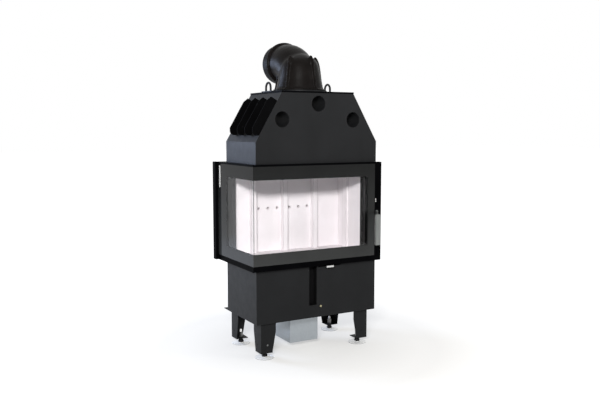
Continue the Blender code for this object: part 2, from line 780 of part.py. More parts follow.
def build_flap(assembly):
    """The damper disc on its cross shaft, part open as the lever stands."""
    assembly.add_axis("flap_axis", (AIR_BOX_CENTRE_X, FLAP_Y, FLAP_Z), "firebox")
    bore = SPIGOT_RADIUS - SPIGOT_WALL
    disc_radius = bore - FLAP_CLEARANCE
    facet_share = math.cos(math.pi / FINE_SIDES)
    shaft_half = bore * facet_share - FIT
    disc = rod("Y", (AIR_BOX_CENTRE_X, FLAP_Z), disc_radius,
               (FLAP_Y - FLAP_SHEET / 2, FLAP_Y + FLAP_SHEET / 2), FINE_SIDES)
    shaft = rod("X", (FLAP_Y, FLAP_Z), FLAP_SHAFT_RADIUS,
                (AIR_BOX_CENTRE_X - shaft_half, AIR_BOX_CENTRE_X + shaft_half), SMALL_SIDES)
    flap = joined(disc, shaft)
    pivot = Vector((AIR_BOX_CENTRE_X, FLAP_Y, FLAP_Z))
    turn = Matrix.Rotation(math.radians(FLAP_REST_DEG), 3, "X")
    bmesh.ops.rotate(flap, cent=pivot, matrix=turn, verts=flap.verts)
    assembly.add("damper_flap", flap, "galvanised", "flap_axis", smooth=True)


def build_lever(assembly):
    front = DOOR_FRONT - LEVER_REACH_OUT
    assembly.add_axis("lever_axis", (LEVER_CENTRE_X, front, LEVER_BOTTOM), "firebox")
    span = (LEVER_CENTRE_X - LEVER_WIDTH / 2, LEVER_CENTRE_X + LEVER_WIDTH / 2)
    blade = block(span, (front, LEVER_REACH_IN), (LEVER_BOTTOM, LEVER_TOP))
    lip = block(span, (front, front + LEVER_SHEET), (LEVER_BOTTOM, LEVER_BOTTOM + LEVER_LIP_HEIGHT))
    assembly.add("air_lever", joined(blade, lip), "satin_steel", "lever_axis")


def build_base(assembly):
    build_floor_plate(assembly)
    build_casing(assembly)
    build_recess(assembly)
    build_air_box(assembly)
    build_flap(assembly)
    build_lever(assembly)


# Combustion chamber

def pan_half(extra):
    """Return the half length and half width of the ash pan opening plus a margin."""
    return PAN_LENGTH / 2 + extra, PAN_WIDTH / 2 + extra


def pan_block(extra, z_span):
    half_x, half_y = pan_half(extra)
    return block((PAN_CENTRE_X - half_x, PAN_CENTRE_X + half_x),
                 (PAN_CENTRE_Y - half_y, PAN_CENTRE_Y + half_y), z_span)


def build_chamber_shell(assembly):
    """Steel shell with its back and right walls, open at the front and left."""
    inner_right = HALF_WIDTH - SHELL_SHEET
    inner_back = BODY_DEPTH - SHELL_SHEET
    shell = cut(
        block((-HALF_WIDTH, HALF_WIDTH), (0, BODY_DEPTH), (CHAMBER_BOTTOM, CHAMBER_TOP)),
        block((-HALF_WIDTH - OVERRUN, inner_right), (-OVERRUN, inner_back),
              (CHAMBER_FLOOR, CHAMBER_CEILING)),
        pan_block(PAN_HOLE_CLEARANCE, (CHAMBER_BOTTOM - OVERRUN, CHAMBER_FLOOR + OVERRUN)),
        block((-SMOKE_SLOT_WIDTH / 2, SMOKE_SLOT_WIDTH / 2),
              (SMOKE_SLOT_START, SMOKE_SLOT_START + SMOKE_SLOT_DEPTH),
              (CHAMBER_CEILING - OVERRUN, CHAMBER_TOP + OVERRUN)),
    )
    inside = (CHAMBER_FLOOR - SHELL_SHEET / 2, CHAMBER_CEILING + SHELL_SHEET / 2)
    post = block((-HALF_WIDTH, REAR_POST_X), (REAR_POST_Y, inner_back + SHELL_SHEET / 2), inside)
    flange = block((HALF_WIDTH - FLANGE_WIDTH, inner_right + SHELL_SHEET / 2),
                   (0, FLANGE_SHEET), inside)
    notch = block((HALF_WIDTH - FLANGE_WIDTH - OVERRUN, SPINDLE_X + CAM_RADIUS + NOTCH_CLEARANCE),
                  (-OVERRUN, FLANGE_SHEET + OVERRUN),
                  (SPINDLE_Z - NOTCH_BELOW, SPINDLE_Z + NOTCH_ABOVE))
    assembly.add("chamber_shell", cut(joined(shell, post, flange), notch), "body_steel")


def build_duct(assembly):
    """Right-hand air duct, a channel open towards the shell wall, cut off at its foot."""
    left = SIDE_FACE
    outline = [
        (left, WALL_BRICK_BOTTOM + DUCT_FOOT_CHAMFER),
        (left + DUCT_FOOT_CHAMFER, WALL_BRICK_BOTTOM),
        (INNER_RIGHT, WALL_BRICK_BOTTOM),
        (INNER_RIGHT, WALL_BRICK_TOP),
        (left, WALL_BRICK_TOP),
    ]
    hollow = block((left + DUCT_SHEET, INNER_RIGHT + OVERRUN),
                   (DUCT_START + DUCT_SHEET, DUCT_END - DUCT_SHEET),
                   (WALL_BRICK_BOTTOM + DUCT_FOOT_CHAMFER, WALL_BRICK_TOP + OVERRUN))
    duct = cut(prism(outline, "Y", (DUCT_START, DUCT_END)), hollow)
    assembly.add("air_duct_right", duct, "body_steel")


def build_floor_brick(assembly):
    brick = cut(
        block((-HALF_WIDTH, INNER_RIGHT), (FLANGE_SHEET + FIT, INNER_BACK),
              (FLOOR_BRICK_BOTTOM, FLOOR_BRICK_TOP)),
        block((-HALF_WIDTH - OVERRUN, REAR_POST_X + FIT), (REAR_POST_Y - FIT, INNER_BACK + OVERRUN),
              (FLOOR_BRICK_BOTTOM - OVERRUN, FLOOR_BRICK_TOP + OVERRUN)),
        pan_block(PAN_RIM + PAN_HOLE_CLEARANCE,
                  (FLOOR_BRICK_BOTTOM - OVERRUN, FLOOR_BRICK_TOP + OVERRUN)),
    )
    assembly.add("lining_floor", brick, "fire_lining")


def rib_centres():
    return [RIB_MIDDLE_X - RIB_PITCH, RIB_MIDDLE_X, RIB_MIDDLE_X + RIB_PITCH]


def build_back_bricks(assembly):
    """Four back bricks that meet behind the pilasters; the middle two have air holes."""
    seams = [REAR_POST_X + FIT / 2] + rib_centres() + [INNER_RIGHT + FIT / 2]
    height = (WALL_BRICK_BOTTOM, WALL_BRICK_TOP)
    hole_z = WALL_BRICK_BOTTOM + AIR_HOLE_HEIGHT
    drilled = (1, 2)
    for index, (left, right) in enumerate(zip(seams, seams[1:])):
        brick = block((left + FIT / 2, right - FIT / 2), (BACK_FACE, INNER_BACK), height)
        if index in drilled:
            middle = (left + right) / 2
            holes = [
                rod("Y", (middle + step * AIR_HOLE_PITCH, hole_z), AIR_HOLE_RADIUS,
                    (BACK_FACE - OVERRUN, BACK_FACE + AIR_HOLE_DEPTH), SMALL_SIDES)
                for step in (-1, 0, 1)
            ]
            brick = cut(brick, *holes)
        assembly.add("lining_back_%d" % (index + 1), brick, "fire_lining")


def build_pilasters(assembly):
    for name, centre in zip(("left", "middle", "right"), rib_centres()):
        pilaster = block((centre - RIB_WIDTH / 2, centre + RIB_WIDTH / 2),
                         (BACK_FACE - FIT - RIB_DEPTH, BACK_FACE - FIT),
                         (WALL_BRICK_BOTTOM, WALL_BRICK_TOP))
        assembly.add("lining_pilaster_" + name, pilaster, "fire_lining")


def build_side_brick(assembly):
    height = (WALL_BRICK_BOTTOM, WALL_BRICK_TOP)
    wall = block((SIDE_FACE, INNER_RIGHT), (DUCT_END + FIT, BACK_FACE - FIT), height)
    rib = block((SIDE_FACE - SIDE_RIB_DEPTH, INNER_RIGHT - BRICK_SIDE / 2),
                (SIDE_RIB_START, SIDE_RIB_END), height)
    assembly.add("lining_right", joined(wall, rib), "fire_lining")


def build_baffle(assembly):
    bottom = WALL_BRICK_TOP + FIT
    baffle = block((REAR_POST_X + FIT, INNER_RIGHT), (BAFFLE_START, INNER_BACK),
                   (bottom, bottom + BAFFLE_THICKNESS))
    assembly.add("baffle_plate", baffle, "fire_lining")


def build_ash_pan(assembly):
    rim_bottom = CHAMBER_FLOOR + FIT
    rim_top = rim_bottom + PAN_SHEET
    assembly.add_axis("pan_axis", (PAN_CENTRE_X, PAN_CENTRE_Y, rim_bottom), "firebox")
    tray = joined(
        pan_block(0, (rim_top - PAN_DEPTH, rim_bottom + PAN_SHEET / 2)),
        pan_block(PAN_RIM, (rim_bottom, rim_top)),
    )
    pan = cut(tray, pan_block(-PAN_SHEET, (rim_top - PAN_DEPTH + PAN_SHEET, rim_top + OVERRUN)))
    assembly.add("ash_pan", pan, "galvanised", "pan_axis")


def build_grate(assembly):
    bottom = CHAMBER_FLOOR + FIT + PAN_SHEET + FIT
    assembly.add_axis("grate_axis", (PAN_CENTRE_X, PAN_CENTRE_Y, bottom), "pan_axis")
    half_x, half_y = pan_half(PAN_RIM - GRATE_BORDER)
    pitch = 2 * half_x / GRATE_SLOTS
    slot_half = pitch * GRATE_SLOT_SHARE / 2
    slots = []
    for index in range(GRATE_SLOTS):
        middle = PAN_CENTRE_X - half_x + pitch * (index + 0.5)
        slots.append(block((middle - slot_half, middle + slot_half),
                           (PAN_CENTRE_Y - half_y, PAN_CENTRE_Y + half_y),
                           (bottom - OVERRUN, bottom + GRATE_THICKNESS + OVERRUN)))
    grate = cut(pan_block(PAN_RIM, (bottom, bottom + GRATE_THICKNESS)), *slots)
    assembly.add("grate", grate, "cast_iron", "grate_axis")


def build_chamber(assembly):
    build_chamber_shell(assembly)
    build_duct(assembly)
    build_floor_brick(assembly)
    build_back_bricks(assembly)
    build_pilasters(assembly)
    build_side_brick(assembly)
    build_baffle(assembly)
    build_ash_pan(assembly)
    build_grate(assembly)


# Hood

def hood_outline(inset, bottom):
    """Return the hood's front outline, moved in by a sheet thickness."""
    slope = math.atan2(HOOD_SLOPE_HEIGHT, SLOPE_RUN)
    top = HOOD_TOP - inset
    half_bottom = HALF_WIDTH - inset
    shoulder = HOOD_SHOULDER - inset * math.tan(math.pi / 4 - slope / 2)
    half_top = half_bottom - (top - shoulder) / math.tan(slope)
    return [(-half_bottom, bottom), (half_bottom, bottom), (half_bottom, shoulder),
            (half_top, top), (-half_top, top), (-half_bottom, shoulder)]


def tube_centres():
    return {
        "left": (-SIDE_TUBE_X, HOOD_TOP - SIDE_TUBE_DROP),
        "middle": (0, HOOD_TOP - MIDDLE_TUBE_DROP),
        "right": (SIDE_TUBE_X, HOOD_TOP - SIDE_TUBE_DROP),
    }


def fill_flat(shape, *loops):
    """Fill a flat face; the first loop is its rim and the others are holes in it."""
    rims = []
    for loop in loops:
        for index, corner in enumerate(loop):
            pair = (corner, loop[(index + 1) % len(loop)])
            rims.append(shape.edges.get(pair) or shape.edges.new(pair))
    bmesh.ops.triangle_fill(shape, use_beauty=True, edges=rims)


def bridge_loops(shape, low, high):
    """Join two loops of as many corners with a band of four-cornered faces."""
    for index in range(len(low)):
        after = (index + 1) % len(low)
        shape.faces.new((low[index], low[after], high[after], high[index]))


def build_hood_shell(assembly):
    """Folded hood, open below, with the bores of the air tubes and of the flue."""
    shape = bmesh.new()

    def front_loop(outline, y):
        return [shape.verts.new((x, y, z)) for x, z in outline]

    def wall_bores(outside, inside):
        bores = []
        for x, z in tube_centres().values():
            ring = circle(x, z, TUBE_RADIUS + FIT, ROUND_SIDES)
            bores.append((front_loop(ring, outside), front_loop(ring, inside)))
            bridge_loops(shape, *bores[-1])
        return bores

    flue_ring = circle(0, FLUE_Y, SEAT_BORE_RADIUS, FINE_SIDES)
    skins = []
    for inset in (0, SHELL_SHEET):
        outline = hood_outline(inset, HOOD_BOTTOM)
        front, back = front_loop(outline, inset), front_loop(outline, BODY_DEPTH - inset)
        for index in (1, 2, 4, 5):
            after = (index + 1) % len(outline)
            shape.faces.new((front[index], front[after], back[after], back[index]))
        mouth = [shape.verts.new((x, y, HOOD_TOP - inset)) for x, y in flue_ring]
        fill_flat(shape, [front[3], front[4], back[4], back[3]], mouth)
        skins.append((front, back, mouth))
    outer, inner = skins
    bridge_loops(shape, outer[2], inner[2])
    bridge_loops(shape, [outer[0][0], outer[0][1], outer[1][1], outer[1][0]],
                 [inner[0][0], inner[0][1], inner[1][1], inner[1][0]])
    walls = (wall_bores(0, SHELL_SHEET), wall_bores(BODY_DEPTH, BODY_DEPTH - SHELL_SHEET))
    for end, bores in enumerate(walls):
        for skin, side in zip(skins, (0, 1)):
            fill_flat(shape, skin[end], *[bore[side] for bore in bores])
    bmesh.ops.recalc_face_normals(shape, faces=shape.faces)
    assembly.add("hood_shell", shape, "body_steel")


def build_tubes(assembly):
    for name, centre in tube_centres().items():
        tube = ring_tube("Y", centre, TUBE_RADIUS, TUBE_RADIUS - TUBE_WALL, (0, BODY_DEPTH), ROUND_SIDES)
        assembly.add("air_tube_" + name, tube, "body_steel", smooth=True)


def build_top_plate(assembly):
    half = TOP_HALF_WIDTH + TOP_PLATE_OVERHANG
    plate = cut(
        block((-half, half), (-TOP_PLATE_OVERHANG, BODY_DEPTH + TOP_PLATE_OVERHANG),
              (TOP_PLATE_BOTTOM, TOP_PLATE_TOP)),
        rod("Z", (0, FLUE_Y), SEAT_BORE_RADIUS, (TOP_PLATE_BOTTOM - OVERRUN, TOP_PLATE_TOP + OVERRUN),
            FINE_SIDES),
    )
    assembly.add("top_plate", plate, "body_steel")


def slope_point(along, out):
    """Return the XZ place at a run down the left slope and a height off it."""
    run = math.hypot(SLOPE_RUN, HOOD_SLOPE_HEIGHT)
    step_x = SLOPE_RUN / run
    step_z = HOOD_SLOPE_HEIGHT / run
    x = -TOP_HALF_WIDTH - along * step_x - out * step_z
    z = HOOD_TOP - along * step_z + out * step_x
    return x, z


def build_fins(assembly):
    end = FIN_START + FIN_LENGTH
    profile = [
        (FIN_START, FIT),
        (FIN_START, FIN_HEIGHT - FIN_HEAD_CUT),
        (FIN_START + FIN_HEAD_RUN, FIN_HEIGHT),
        (end + FIN_TAIL_REACH - 2 * FIN_TAIL_RUN + FIN_TAIL_CUT, FIN_HEIGHT),
        (end + FIN_TAIL_REACH - FIN_TAIL_RUN / 4, FIN_HEIGHT - FIN_TAIL_CUT),
        (end + FIN_TAIL_REACH, FIN_TAIL_LEG),
        (end, FIT),
    ]
    outline = [slope_point(along, out) for along, out in profile]
    pitch = BODY_DEPTH / FIN_COUNT
    for index in range(FIN_COUNT):
        front = FIN_FIRST + index * pitch
        fin = prism(outline, "Y", (front, front + FIN_SHEET))
        assembly.add("cooling_fin_%d" % (index + 1), fin, "fin_black")


def build_eyes(assembly):
    for name, side in (("left", -1), ("right", 1)):
        x = side * EYE_X
        bottom = TOP_PLATE_TOP + FIT
        base_top = bottom + EYE_BASE_HEIGHT
        bend_z = base_top + EYE_STRAIGHT
        path = [(x, EYE_Y - EYE_BEND_RADIUS, bottom + EYE_BASE_HEIGHT / 2)]
        for step in range(BEND_STEPS + 1):
            angle = math.pi * step / BEND_STEPS
            path.append((x, EYE_Y - EYE_BEND_RADIUS * math.cos(angle),
                         bend_z + EYE_BEND_RADIUS * math.sin(angle)))
        path.append((x, EYE_Y + EYE_BEND_RADIUS, bottom + EYE_BASE_HEIGHT / 2))
        base = block((x - EYE_BASE_WIDTH / 2, x + EYE_BASE_WIDTH / 2),
                     (EYE_Y - EYE_BASE_LENGTH / 2, EYE_Y + EYE_BASE_LENGTH / 2), (bottom, base_top))
        eye = joined(base, swept(path, EYE_ROD_RADIUS, SMALL_SIDES // 2))
        assembly.add("lifting_eye_" + name, eye, "body_steel", smooth=True)


def build_hood(assembly):
    build_hood_shell(assembly)
    build_tubes(assembly)
    build_top_plate(assembly)
    build_fins(assembly)
    build_eyes(assembly)


# Flue

def flue_path(drop, overrun):
    """Return the centre line of the elbow from below its foot to its outlet face."""
    path = [(0, FLUE_Y, ELBOW_BOTTOM - drop), (0, FLUE_Y, ELBOW_BOTTOM + FLUE_RISE / 2)]
    for step in range(BEND_STEPS + 1):
        angle = math.pi / 2 * step / BEND_STEPS
        path.append((0, FLUE_Y + FLUE_BEND_RADIUS * (1 - math.cos(angle)),
                     BEND_START + FLUE_BEND_RADIUS * math.sin(angle)))
    path.append((0, OUTLET_FACE + overrun, OUTLET_HEIGHT))
    return path


def elbow_rib(index):
    """Return one upright rib of the elbow's skirt."""
    core = FLUE_RADIUS - FLUE_WALL / 2
    foot_middle = ELBOW_BOTTOM + ELBOW_FOOT_HEIGHT / 2
    outline = [(-core, foot_middle), (-RIB_RADIUS, foot_middle)]
    outline += [(-RIB_RADIUS * out, ELBOW_BOTTOM + RIB_HEIGHT * up) for out, up in RIB_SHARES]
    rib = prism(outline, "X", (-RIB_SHEET / 2, RIB_SHEET / 2))
    angle = math.radians(RIB_FIRST_DEG + index * 360.0 / RIB_COUNT)
    bmesh.ops.rotate(rib, cent=(0, 0, 0), matrix=Matrix.Rotation(angle, 3, "Z"), verts=rib.verts)
    bmesh.ops.translate(rib, vec=(0, FLUE_Y, 0), verts=rib.verts)
    return rib


def build_elbow(assembly):
    assembly.add_axis("flue_axis", (0, FLUE_Y, ELBOW_BOTTOM), "firebox")
    foot_top = ELBOW_BOTTOM + ELBOW_FOOT_HEIGHT
    skirt = turned("Z", (0, FLUE_Y), [
        (0, ELBOW_BOTTOM),
        (ELBOW_FOOT_RADIUS, ELBOW_BOTTOM),
        (ELBOW_FOOT_RADIUS, foot_top),
        (SKIRT_RADIUS, foot_top),
    ] + [(SKIRT_RADIUS * out, ELBOW_BOTTOM + SKIRT_HEIGHT * up) for out, up in SKIRT_SHARES], FINE_SIDES)
    pipe = swept(flue_path(SPIGOT_DEPTH, 0), FLUE_RADIUS, FINE_SIDES)
    rim = rod("Y", (0, OUTLET_HEIGHT), RIM_RADIUS, (OUTLET_FACE - RIM_WIDTH, OUTLET_FACE), FINE_SIDES)
    ribs = [elbow_rib(index) for index in range(RIB_COUNT)]
    bore = swept(flue_path(SPIGOT_DEPTH + OVERRUN, OVERRUN), FLUE_RADIUS - FLUE_WALL, FINE_SIDES)
    elbow = cut(joined(pipe, skirt, rim, *ribs), bore)
    assembly.add("flue_elbow", elbow, "cast_iron", "flue_axis", smooth=True)


def build_flue(assembly):
    seat = ring_tube("Z", (0, FLUE_Y), SEAT_RADIUS, SEAT_BORE_RADIUS, (SEAT_BOTTOM, SEAT_TOP), FINE_SIDES)
    assembly.add("flue_seat_ring", seat, "body_steel", smooth=True)
    build_elbow(assembly)
    start = OUTLET_FACE + FIT
    bore = COLLAR_RADIUS - COLLAR_WALL
    collar = turned("Y", (0, OUTLET_HEIGHT), [
        (bore, start),
        (RIM_RADIUS, start),
        (RIM_RADIUS, start + COLLAR_FLANGE),
        (COLLAR_RADIUS, start + COLLAR_FLANGE),
        (COLLAR_RADIUS, OUTLET_END),
        (bore, OUTLET_END),
    ], FINE_SIDES)
    assembly.add("flue_collar", collar, "cast_iron", "flue_axis", smooth=True)


# Door

def corner_rail(z_span):
    """Return an L-shaped rail along the front and the left side of the door."""
    inner_front = -DOOR_GAP
    inner_side = -(HALF_WIDTH + DOOR_GAP)
    front_right = CLOSING_LEFT - FIT
    side_back = HINGE_FRONT - FIT
    outline = [
        (DOOR_SIDE, DOOR_FRONT), (front_right, DOOR_FRONT), (front_right, inner_front),
        (inner_side, inner_front), (inner_side, side_back), (DOOR_SIDE, side_back),
    ]
    return prism(outline, "Z", z_span)


def build_rails(assembly):
    bottom = corner_rail((DOOR_BOTTOM, DOOR_BOTTOM + BOTTOM_RAIL))
    top = corner_rail((DOOR_TOP - TOP_RAIL, DOOR_TOP))
    assembly.add("door_bottom_rail", bottom, "frame_black", "door_axis")
    assembly.add("door_top_rail", top, "frame_black", "door_axis")


def build_stiles(assembly):
    height = (DOOR_BOTTOM, DOOR_TOP)
    closing = cut(
        block((CLOSING_LEFT, DOOR_RIGHT), (DOOR_FRONT, -DOOR_GAP), height),
        rod("Y", (SPINDLE_X, SPINDLE_Z), SPINDLE_RADIUS + FIT,
            (DOOR_FRONT - OVERRUN, -DOOR_GAP + OVERRUN), SMALL_SIDES),
    )
    assembly.add("door_closing_stile", closing, "frame_black", "door_axis")
    notch_left = HINGE_AXIS_X - BRACKET_EYE_RADIUS - BRACKET_NOTCH_GAP
    notch_x = (notch_left, HINGE_RIGHT + OVERRUN)
    notch_y = (HINGE_FRONT - OVERRUN, HINGE_BACK + OVERRUN)
    centre = (HINGE_AXIS_X, HINGE_AXIS_Y)
    tools = []
    for end, inward in ((DOOR_BOTTOM, 1), (DOOR_TOP, -1)):
        seat = end + inward * (BRACKET_SHEET + FIT)
        floor_of_bore = seat + inward * HINGE_PIN_LENGTH
        tools.append(block(notch_x, notch_y, (end - inward * OVERRUN, seat)))
        tools.append(rod("Z", centre, HINGE_PIN_RADIUS + FIT,
                         (end - inward * OVERRUN, floor_of_bore), SMALL_SIDES))
    hinge = cut(block((HINGE_LEFT, HINGE_RIGHT), (HINGE_FRONT, HINGE_BACK), height), *tools)
    assembly.add("door_hinge_stile", hinge, "frame_black", "door_axis")


def build_panes(assembly):
    height = (DOOR_BOTTOM + BOTTOM_RAIL + FIT, DOOR_TOP - TOP_RAIL - FIT)
    front = block((DOOR_SIDE, CLOSING_LEFT - FIT), (DOOR_FRONT, DOOR_FRONT + GLASS_THICKNESS), height)
    side = block((DOOR_SIDE, DOOR_SIDE + GLASS_THICKNESS),
                 (DOOR_FRONT + GLASS_THICKNESS + FIT, HINGE_FRONT - FIT), height)
    assembly.add("front_glass", front, "ceramic_glass", "door_axis")
    assembly.add("side_glass", side, "ceramic_glass", "door_axis")


def build_hinge_bracket(assembly, name, end, inward):
    """A bracket behind the body with the pin that enters the hinge stile."""
    plate_z = (end, end + inward * BRACKET_SHEET)
    pin_z = (end + inward * BRACKET_SHEET / 2, end + inward * (BRACKET_SHEET + HINGE_PIN_LENGTH))
    tab_left = BRACKET_TAB_INSET - HALF_WIDTH
    arm_y = (HINGE_AXIS_Y - BRACKET_EYE_RADIUS, HINGE_AXIS_Y + BRACKET_EYE_RADIUS)
    tab = block((tab_left, tab_left + BRACKET_TAB_WIDTH), (BODY_DEPTH + FIT, arm_y[1]), plate_z)
    arm = block((HINGE_AXIS_X, tab_left + BRACKET_TAB_WIDTH / 2), arm_y, plate_z)
    eye = rod("Z", (HINGE_AXIS_X, HINGE_AXIS_Y), BRACKET_EYE_RADIUS, plate_z, SMALL_SIDES)
    pin = rod("Z", (HINGE_AXIS_X, HINGE_AXIS_Y), HINGE_PIN_RADIUS, pin_z, SMALL_SIDES)
    assembly.add("hinge_bracket_" + name, joined(tab, arm, eye, pin), "body_steel")


def grip_shape():
    """Return the upright grip with rounded edges."""
    grip = block((GRIP_LEFT, GRIP_RIGHT), (GRIP_FRONT, GRIP_BACK), (GRIP_BOTTOM, GRIP_TOP))
    bmesh.ops.bevel(grip, geom=grip.edges[:], offset=GRIP_BEVEL, segments=2, affect="EDGES")
    return grip


def build_handle(assembly):
    assembly.add_axis("handle_axis", (SPINDLE_X, DOOR_FRONT, SPINDLE_Z), "door_axis")
    boss_front = DOOR_FRONT - FIT - BOSS_HEIGHT
    arm_middle = (GRIP_LEFT + GRIP_RIGHT) / 2
    arm_z = GRIP_TOP - 2 * ARM_HALF
    near = boss_front + BOSS_HEIGHT / 2
    far = GRIP_BACK - ARM_SINK
    corners = ((-ARM_HALF, -ARM_HALF), (ARM_HALF, -ARM_HALF), (ARM_HALF, ARM_HALF), (-ARM_HALF, ARM_HALF))
    arm = frustum_bar(
        [(SPINDLE_X + across, near, SPINDLE_Z + up) for across, up in corners],
        [(arm_middle + across, far, arm_z + up) for across, up in corners],
    )
    boss = rod("Y", (SPINDLE_X, SPINDLE_Z), BOSS_RADIUS, (boss_front, DOOR_FRONT - FIT), SMALL_SIDES)
    spindle = rod("Y", (SPINDLE_X, SPINDLE_Z), SPINDLE_RADIUS,
                  (boss_front + BOSS_HEIGHT / 2, CAM_SETBACK + CAM_THICKNESS + CAM_TAIL), SMALL_SIDES)
    handle = joined(grip_shape(), arm, boss, spindle)
    assembly.add("door_handle", handle, "satin_steel", "handle_axis", smooth=True)
    cam_span = (CAM_SETBACK, CAM_SETBACK + CAM_THICKNESS)
    cam = cut(
        joined(
            rod("Y", (SPINDLE_X, SPINDLE_Z), CAM_RADIUS, cam_span, SMALL_SIDES),
            block((SPINDLE_X, SPINDLE_X + CAM_NOSE), cam_span,
                  (SPINDLE_Z - CAM_NOSE_HALF, SPINDLE_Z + CAM_NOSE_HALF)),
        ),
        rod("Y", (SPINDLE_X, SPINDLE_Z), SPINDLE_RADIUS + FIT,
            (CAM_SETBACK - OVERRUN, CAM_SETBACK + CAM_THICKNESS + OVERRUN), SMALL_SIDES),
    )
    assembly.add("latch_cam", cam, "zinc", "handle_axis")


def build_door(assembly):
    assembly.add_axis("door_axis", (HINGE_AXIS_X, HINGE_AXIS_Y, DOOR_BOTTOM), "firebox")
    build_rails(assembly)
    build_stiles(assembly)
    build_panes(assembly)
    build_hinge_bracket(assembly, "lower", DOOR_BOTTOM, 1)
    build_hinge_bracket(assembly, "upper", DOOR_TOP, -1)
    build_handle(assembly)


def main():
    clear_scene()
    assembly = Assembly()
    build_stand(assembly)
    build_base(assembly)
    build_chamber(assembly)
    build_hood(assembly)
    build_flue(assembly)
    build_door(assembly)


main()
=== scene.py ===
"""Looks for the corner fireplace firebox: materials, fine pieces, floor, light and camera."""
import math

import bmesh
import bpy
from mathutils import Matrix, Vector
from mathutils.bvhtree import BVHTree


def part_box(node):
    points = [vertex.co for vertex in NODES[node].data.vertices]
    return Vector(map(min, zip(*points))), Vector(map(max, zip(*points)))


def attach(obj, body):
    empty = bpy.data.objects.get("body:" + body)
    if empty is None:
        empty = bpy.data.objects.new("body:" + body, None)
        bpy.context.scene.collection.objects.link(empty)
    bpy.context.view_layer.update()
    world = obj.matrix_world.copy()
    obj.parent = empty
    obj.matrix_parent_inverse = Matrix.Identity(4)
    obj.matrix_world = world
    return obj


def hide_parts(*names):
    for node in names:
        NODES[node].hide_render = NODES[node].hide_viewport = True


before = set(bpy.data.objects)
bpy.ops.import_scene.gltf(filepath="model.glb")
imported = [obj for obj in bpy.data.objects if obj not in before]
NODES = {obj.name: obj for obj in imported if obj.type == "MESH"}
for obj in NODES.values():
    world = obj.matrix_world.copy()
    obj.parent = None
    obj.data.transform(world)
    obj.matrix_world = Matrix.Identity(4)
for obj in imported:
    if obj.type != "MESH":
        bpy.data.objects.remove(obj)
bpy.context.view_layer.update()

# Lengths are in metres, unless a name ends in DEG or MM.
CORNERS = ("front_left", "front_right", "rear_left", "rear_right")
SHARP_DEG = 35.0        # faces that meet at less than this are shaded smooth
EDGE_RADIUS = 0.0011    # the rounding that paint gives the edge of a sheet
WHITE = (1.0, 1.0, 1.0)
MIX_FIRST, MIX_SECOND, MIX_RESULT = 6, 7, 2     # the colour sockets of a Mix node

# The two panes: print on their backs, and the clear windows that it leaves
FRONT_LOW, FRONT_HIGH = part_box("front_glass")
SIDE_LOW, SIDE_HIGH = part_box("side_glass")
PRINT_THICK = 0.0004
PRINT_GAP = PRINT_THICK / 2
SILL = FRONT_LOW.z + 0.0535
LINTEL = FRONT_HIGH.z - 0.0597
FRONT_WINDOW_END = FRONT_HIGH.x - 0.0385
SIDE_WINDOW_END = SIDE_HIGH.y - 0.1013
FRONT_PRINT_START = FRONT_LOW.x + 0.0045
SIDE_PRINT_START = SIDE_LOW.y + 0.0010

# The narrow clear slot by the hinge stile, and the bright strip behind it
SLOT_DROP = 0.1147
SLOT_FOOT = FRONT_HIGH.z - SLOT_DROP
SLOT_HEAD = FRONT_HIGH.z - 0.0065
SLOT_GLASS_START = SIDE_HIGH.y - 0.0300
SLOT_PRINT_START = SIDE_HIGH.y - 0.0253
STRIP_GAP = 0.0012
STRIP_WIDTH = 0.0078
STRIP_THICK = 0.0022
STRIP_HEIGHT = 0.1082

# Glass: each pane's index, and the enamel's two tones
FRONT_INDEX = 1.20
SIDE_INDEX = 1.15
SPECULAR_UNIT = 0.08    # head-on reflectance at a specular level of 1
PAST_ANY_EDGE = 1.0
ENAMEL_DARK = (0.0235, 0.0243, 0.0237)
ENAMEL_LIGHT = (0.0285, 0.0294, 0.0287)
MIRROR_TINT = (0.97, 0.98, 1.0)

# The bead of sealant where the panes meet: its outline, its gaps, and how far it stops short
SEAL_SIDE_GAP = 0.0004
SEAL_FRONT_GAP = 0.0001
SEAL_OUTLINE = ((0, 0), (0.0024, 0), (0.0015, 0.0007), (0.0007, 0.0015), (0, 0.0024))
SEAL_SHORT = 0.0006

# Turned pieces: pairs of radius and distance along the axis
HUB_PROFILE = (
    (0.0113, 0.0056), (0.0125, 0.0064), (0.0127, 0.0110), (0.0125, 0.0150), (0.0112, 0.0170),
    (0.0094, 0.0182), (0.0090, 0.0215), (0.0088, 0.0262), (0.0084, 0.0270),
    (0.00795, 0.0270), (0.00795, 0.0177), (0.0112, 0.0154), (0.0112, 0.0056))
HUB_SIDES = 72
HUB_RIDGED_FROM = 0.0120
HUB_RIDGE = 0.0004
HOLE_SHADE_CAP_PROFILE = (
    (0, 0.0007), (0.0034, 0.0007), (0.0044, 0.0011), (0.0044, 0.0031),
    (0.0064, 0.0031), (0.0064, 0.0039), (0.0057, 0.0042), (0, 0.0042))
HOLE_SHADE_CAP_SIDES = 32
LEG_HOLE_HEIGHT = 0.037
SCREW_GAP = 0.0002
SCREW_PROFILE = (
    (0, -0.0016), (0.0014, -0.0015), (0.0026, -0.0008),
    (0.0027, -SCREW_GAP), (0, -SCREW_GAP))
SCREW_SIDES = 24
SCREW_INSET = 0.0055
SCREW_HEIGHTS = (0.7145, 0.7044)

# The elbow as cast: even small faces, softened all over, then filled where it is hollow
CAST_VOXEL = 0.0026
CAST_SOFT_PASSES = 6
CAST_SOFT_SHARE = 0.5
CAST_FOOT_KEPT = 0.0095     # the foot and the outlet's end keep their edges
CAST_END_KEPT = 0.0085
CAST_KEEP = 0.35            # the share of faces that is kept at the end
FILL_PASSES = 200
FILL_SHARE = 0.7
FILL_LEAST = 2e-6           # a vertex that would move less stays where it is
FILL_FROM = 0.132           # the filling sets in at this height above the foot
FILL_FULL = 0.172
BORE_START = 0.003          # rays start this far off the surface
BORE_REACH = 0.23           # a vertex that faces another wall within this reach is in the bore

